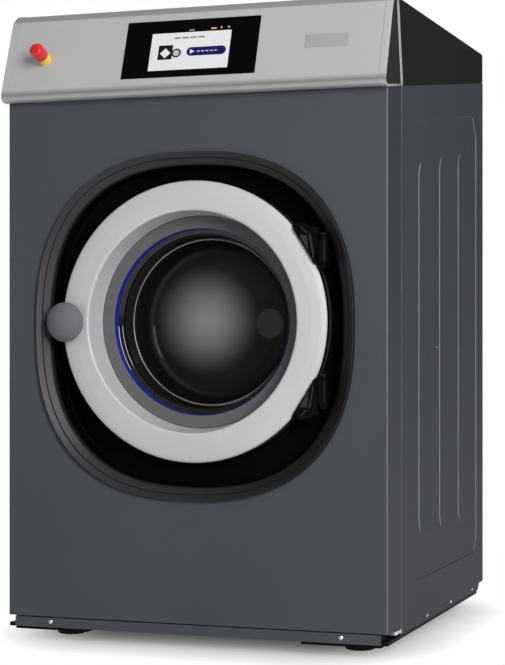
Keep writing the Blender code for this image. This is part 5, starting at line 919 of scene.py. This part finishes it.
def base_and_feet():
    """A strip across the base's front, a clip on each front corner, a rail under each side sheet, screws,
    and feet that are turned pucks with a hexagon nut and a stem whose thread is a row of ridges."""
    strip = oblong(-0.3422, 0.0242, 0.3422, 0.0418, 0.0008, 4)
    skin("base_strip", plate(strip, FACE_Y + 0.0052, FACE_Y + 0.0012, 0.0008), "grey_paint")
    joined("strip_screws", [screw_head((x, FACE_Y + 0.0012, 0.0345)) for x in (-0.272, 0.272)], "screw_zinc")
    clip = oblong(0.05 + FACE_Y, 0.0345, 0.0905 + FACE_Y, 0.0412, 0.0012, 4)
    bolt = hexagon(0.078 + FACE_Y, 0.0378, 0.0055)
    clips = [plate(outline, sign * start, sign * end, edge, "X") for sign in (-1, 1)
             for outline, start, end, edge in ((clip, 0.3424, 0.3549, 0.0008), (bolt, 0.3545, 0.3572, 0.0006))]
    joined("corner_clips", clips, "screw_zinc")
    rail = oblong(FACE_Y + 0.003, 0.0236, FACE_Y + 0.7, 0.0306, 0.0008, 4)
    joined("side_rails", [plate(rail, sign * 0.3424, sign * 0.3543, 0.0006, "X") for sign in (-1, 1)], "frame_black")
    spots = [(y, 0.0382, 0.003, 0.0019) for y in (0.275, 0.463, 0.651)] + [(0.357, 0.528, 0.0014, 0.0007)]
    heads = [screw_head((sign * HALF_WIDTH, y + FACE_Y, z), size, rise, "X", sign) for sign in (-1, 1)
             for y, z, size, rise in spots]
    joined("side_screws", heads, "screw_zinc")
    ridge = np.arange(16)
    thread = np.stack((np.where(ridge % 2 == 0, 0.0059, 0.0051), 0.02 + ridge * 0.0015), 1)
    puck = mm((0, 0), (23.5, 0), (26, 1.5), (26, 8.5), (24.5, 10.5), (15, 12), (7.8, 12.5), (5.5, 12.8))
    stem = softened(np.vstack((thread, ((0.005, 0.045), (0, 0.045)))), 1e-5, 1, closed=False)
    for word, x, y in four(0.277, 0.104, 0.612):
        nut = plate(hexagon(x, y + FACE_Y, 0.019), 0.0126, 0.0188, 0.0006, "Z")
        joined(f"{word}_foot", [turned(np.vstack((puck, stem)), (x, y + FACE_Y), "Z", 40), nut], "foot_black",
               f"foot_{word}", body=f"foot_{word}")


def wash_drum():
    """The drum's wall and ends are turned sections, and each lifter is a trapezium carried along the drum
    and turned a third of the way round."""
    wall = mm((266, 130), (268, 130), (268, 556), (266, 556))
    back = mm((0, 556.2), (60, 554.5), (120, 556.2), (268, 556.2), (268, 558), (0, 558))
    mouth = mm((182, 128), (184, 127), (268, 128), (268, 130), (184, 131.5), (182, 131.5))
    round_piece("drum_wall", wall, "drum_steel", body="drum", reach=0.0004)
    skin("drum_back", spun(back, 0.0008), "steel", "drum_shell", body="drum")
    round_piece("drum_mouth", mouth, "steel", body="drum", reach=0.0008)
    trapezium = softened(mm((-28, -264.5), (28, -264.5), (7.5, -216), (-7.5, -216)), 0.006, 6)
    x, y, z = np.moveaxis(plate(trapezium, FACE_Y + 0.14, FACE_Y + 0.545, 0.006, "Y", 5), -1, 0)
    lifters = [np.stack((x * np.cos(turn) - z * np.sin(turn), y, x * np.sin(turn) + z * np.cos(turn) + AXIS_Z), -1)
               for turn in (0, 2 * np.pi / 3, 4 * np.pi / 3)]
    joined("drum_lifters", lifters, "steel", body="drum")
    yielding("gasket_skin", spun(GASKET_SECTION, 0.0016, closed=True), "rubber", "door_gasket",
             (0, FACE_Y + 0.066, AXIS_Z), (0, FACE_Y + 0.096, AXIS_Z), ring=True)


def springs(turns=4, coil=0.027, wire=0.0048, low=0.064, high=0.234):
    """Each spring is a round wire carried along a coil: the centre line stands at
    (R cos t, R sin t, low + slope t) and the wire's section lies across its direction."""
    angle = np.linspace(0, 2 * np.pi * turns, turns * 40 + 1)
    a = all_round(14)[None, :, None]
    slope, flat = (high - low) / angle[-1], 0 * angle
    outward = np.stack((np.cos(angle), np.sin(angle), flat), -1)
    centre = coil * outward + np.stack((flat, flat, low + slope * angle), -1)
    along = np.stack((-coil * np.sin(angle), coil * np.cos(angle), slope + flat), -1)
    across = np.cross(outward, unit(along))
    tube = centre[:, None] + wire * np.cos(a) * outward[:, None] + wire * np.sin(a) * across[:, None]
    for word, x, y in four(0.17, -0.1815, 0.1785):
        yielding(f"spring_{word}_coil", tube + np.array((x, y, 0)), "steel", f"spring_{word}", (x, y, low),
                 (x, y, high - 0.03))


def louvre(x, z):
    """A pressed louvre, 4.5 sqrt(1 - |u|^3) sqrt((1 - v) / 2) mm high for u and v from -1 to 1."""
    u, v = np.meshgrid(np.linspace(-1, 1, 21), np.linspace(-1, 1, 9))
    swell = 0.0045 * np.sqrt(np.clip(1 - np.abs(u) ** 3, 0, 1)) * np.sqrt(np.clip((1 - v) / 2, 0, 1))
    swell[[0, -1]] = swell[:, [0, -1]] = -0.0004
    return np.stack((x + 0.05 * u, REAR_Y + swell, z + 0.006 * v), -1)


def rear():
    """The rear's fittings: an access cover, screws, pressed louvres, and a turned drain pipe and gland."""
    cover = oblong(-0.19, 0.33, 0.19, 0.82, 0.02)
    skin("access_cover", plate(cover, REAR_Y - 0.0004, REAR_Y + 0.0016, 0.0008), "grey_paint")
    spots = [*product((-0.178, 0, 0.178), (0.342, 0.808)), *product((-0.178, 0.178), (0.5, 0.65))]
    edge = [*product((-0.34, 0.34), (0.07, 0.3, 0.55, 0.8, 1.05)), (-0.12, 0.06), (0.12, 0.06)]
    heads = [screw_head((x, y, z), out=1) for y, places in ((REAR_Y + 0.0016, spots), (REAR_Y, edge))
             for x, z in places]
    joined("rear_screws", heads, "screw_zinc")
    joined("rear_louvres", [louvre(x, 0.4 + row * 0.022) for x in (-0.265, 0.265) for row in range(6)], "grey_paint",
           around=False)
    pipe = mm((0, 620), (40, 620), (40, 700), (38, 700), (38, 745.2), (45, 745.2), (45, 751.3), (38, 751.5),
              (38, 782), (39.5, 784), (39.5, 789), (38.5, 790), (34, 790), (34, 710), (0, 710))
    skin("drain_skin", spun(pipe, 0.0008, (0.2, 0.1), 72), "black_plastic", "drain_valve")
    gland = mm((5.5, 743.4), (14, 743.4), (14, 751.4), (10, 751.4), (10, 754), (12.5, 754), (12.5, 759), (11.5, 760),
               (12.2, 770), (9.5, 775), (5.5, 775))
    place = (-0.26, 1.02)
    piece = solid("gland_skin", spun(gland, 0.0006, place, 48, closed=True), ring=True)
    nut = solid("gland_nut", plate(hexagon(*place, 0.0255), REAR_Y + 0.0003, REAR_Y + 0.0052, 0.0006))
    carved(nut, spun(((0.01, 0.74), (0.01, 0.78)), centre=place, sides=32))
    dressed(piece, "black_plastic", "cable_gland")
    dressed(nut, "black_plastic")


camera()
studio()
floor()
for name, place, aim, wide, high, power in (("key", (3.3, -3.9, 2.1), (0, -0.3, 0.55), 1.5, 2.6, 226),
                                            ("fill", (-3.6, -3.2, 1.6), (0, 0, 0.5), 2.2, 2.2, 10),
                                            ("rear", (-2.6, 4.4, 2.4), (0, 0, 0.5), 2.4, 2.4, 130),
                                            ("top", (-0.4, -0.9, 3.6), (0, 0, 0.7), 2.2, 1.6, 8)):
    softbox(name, place, aim, wide, high, power)
for build in (fascia, end_caps, screen, badge_place, stop_button, door_surround, hinge_arms, door, knob, front):
    build()
side_sheet(-1, "left")
side_sheet(1, "right")
for build in (hood, lid, base_and_feet, wash_drum, springs, rear):
    build()
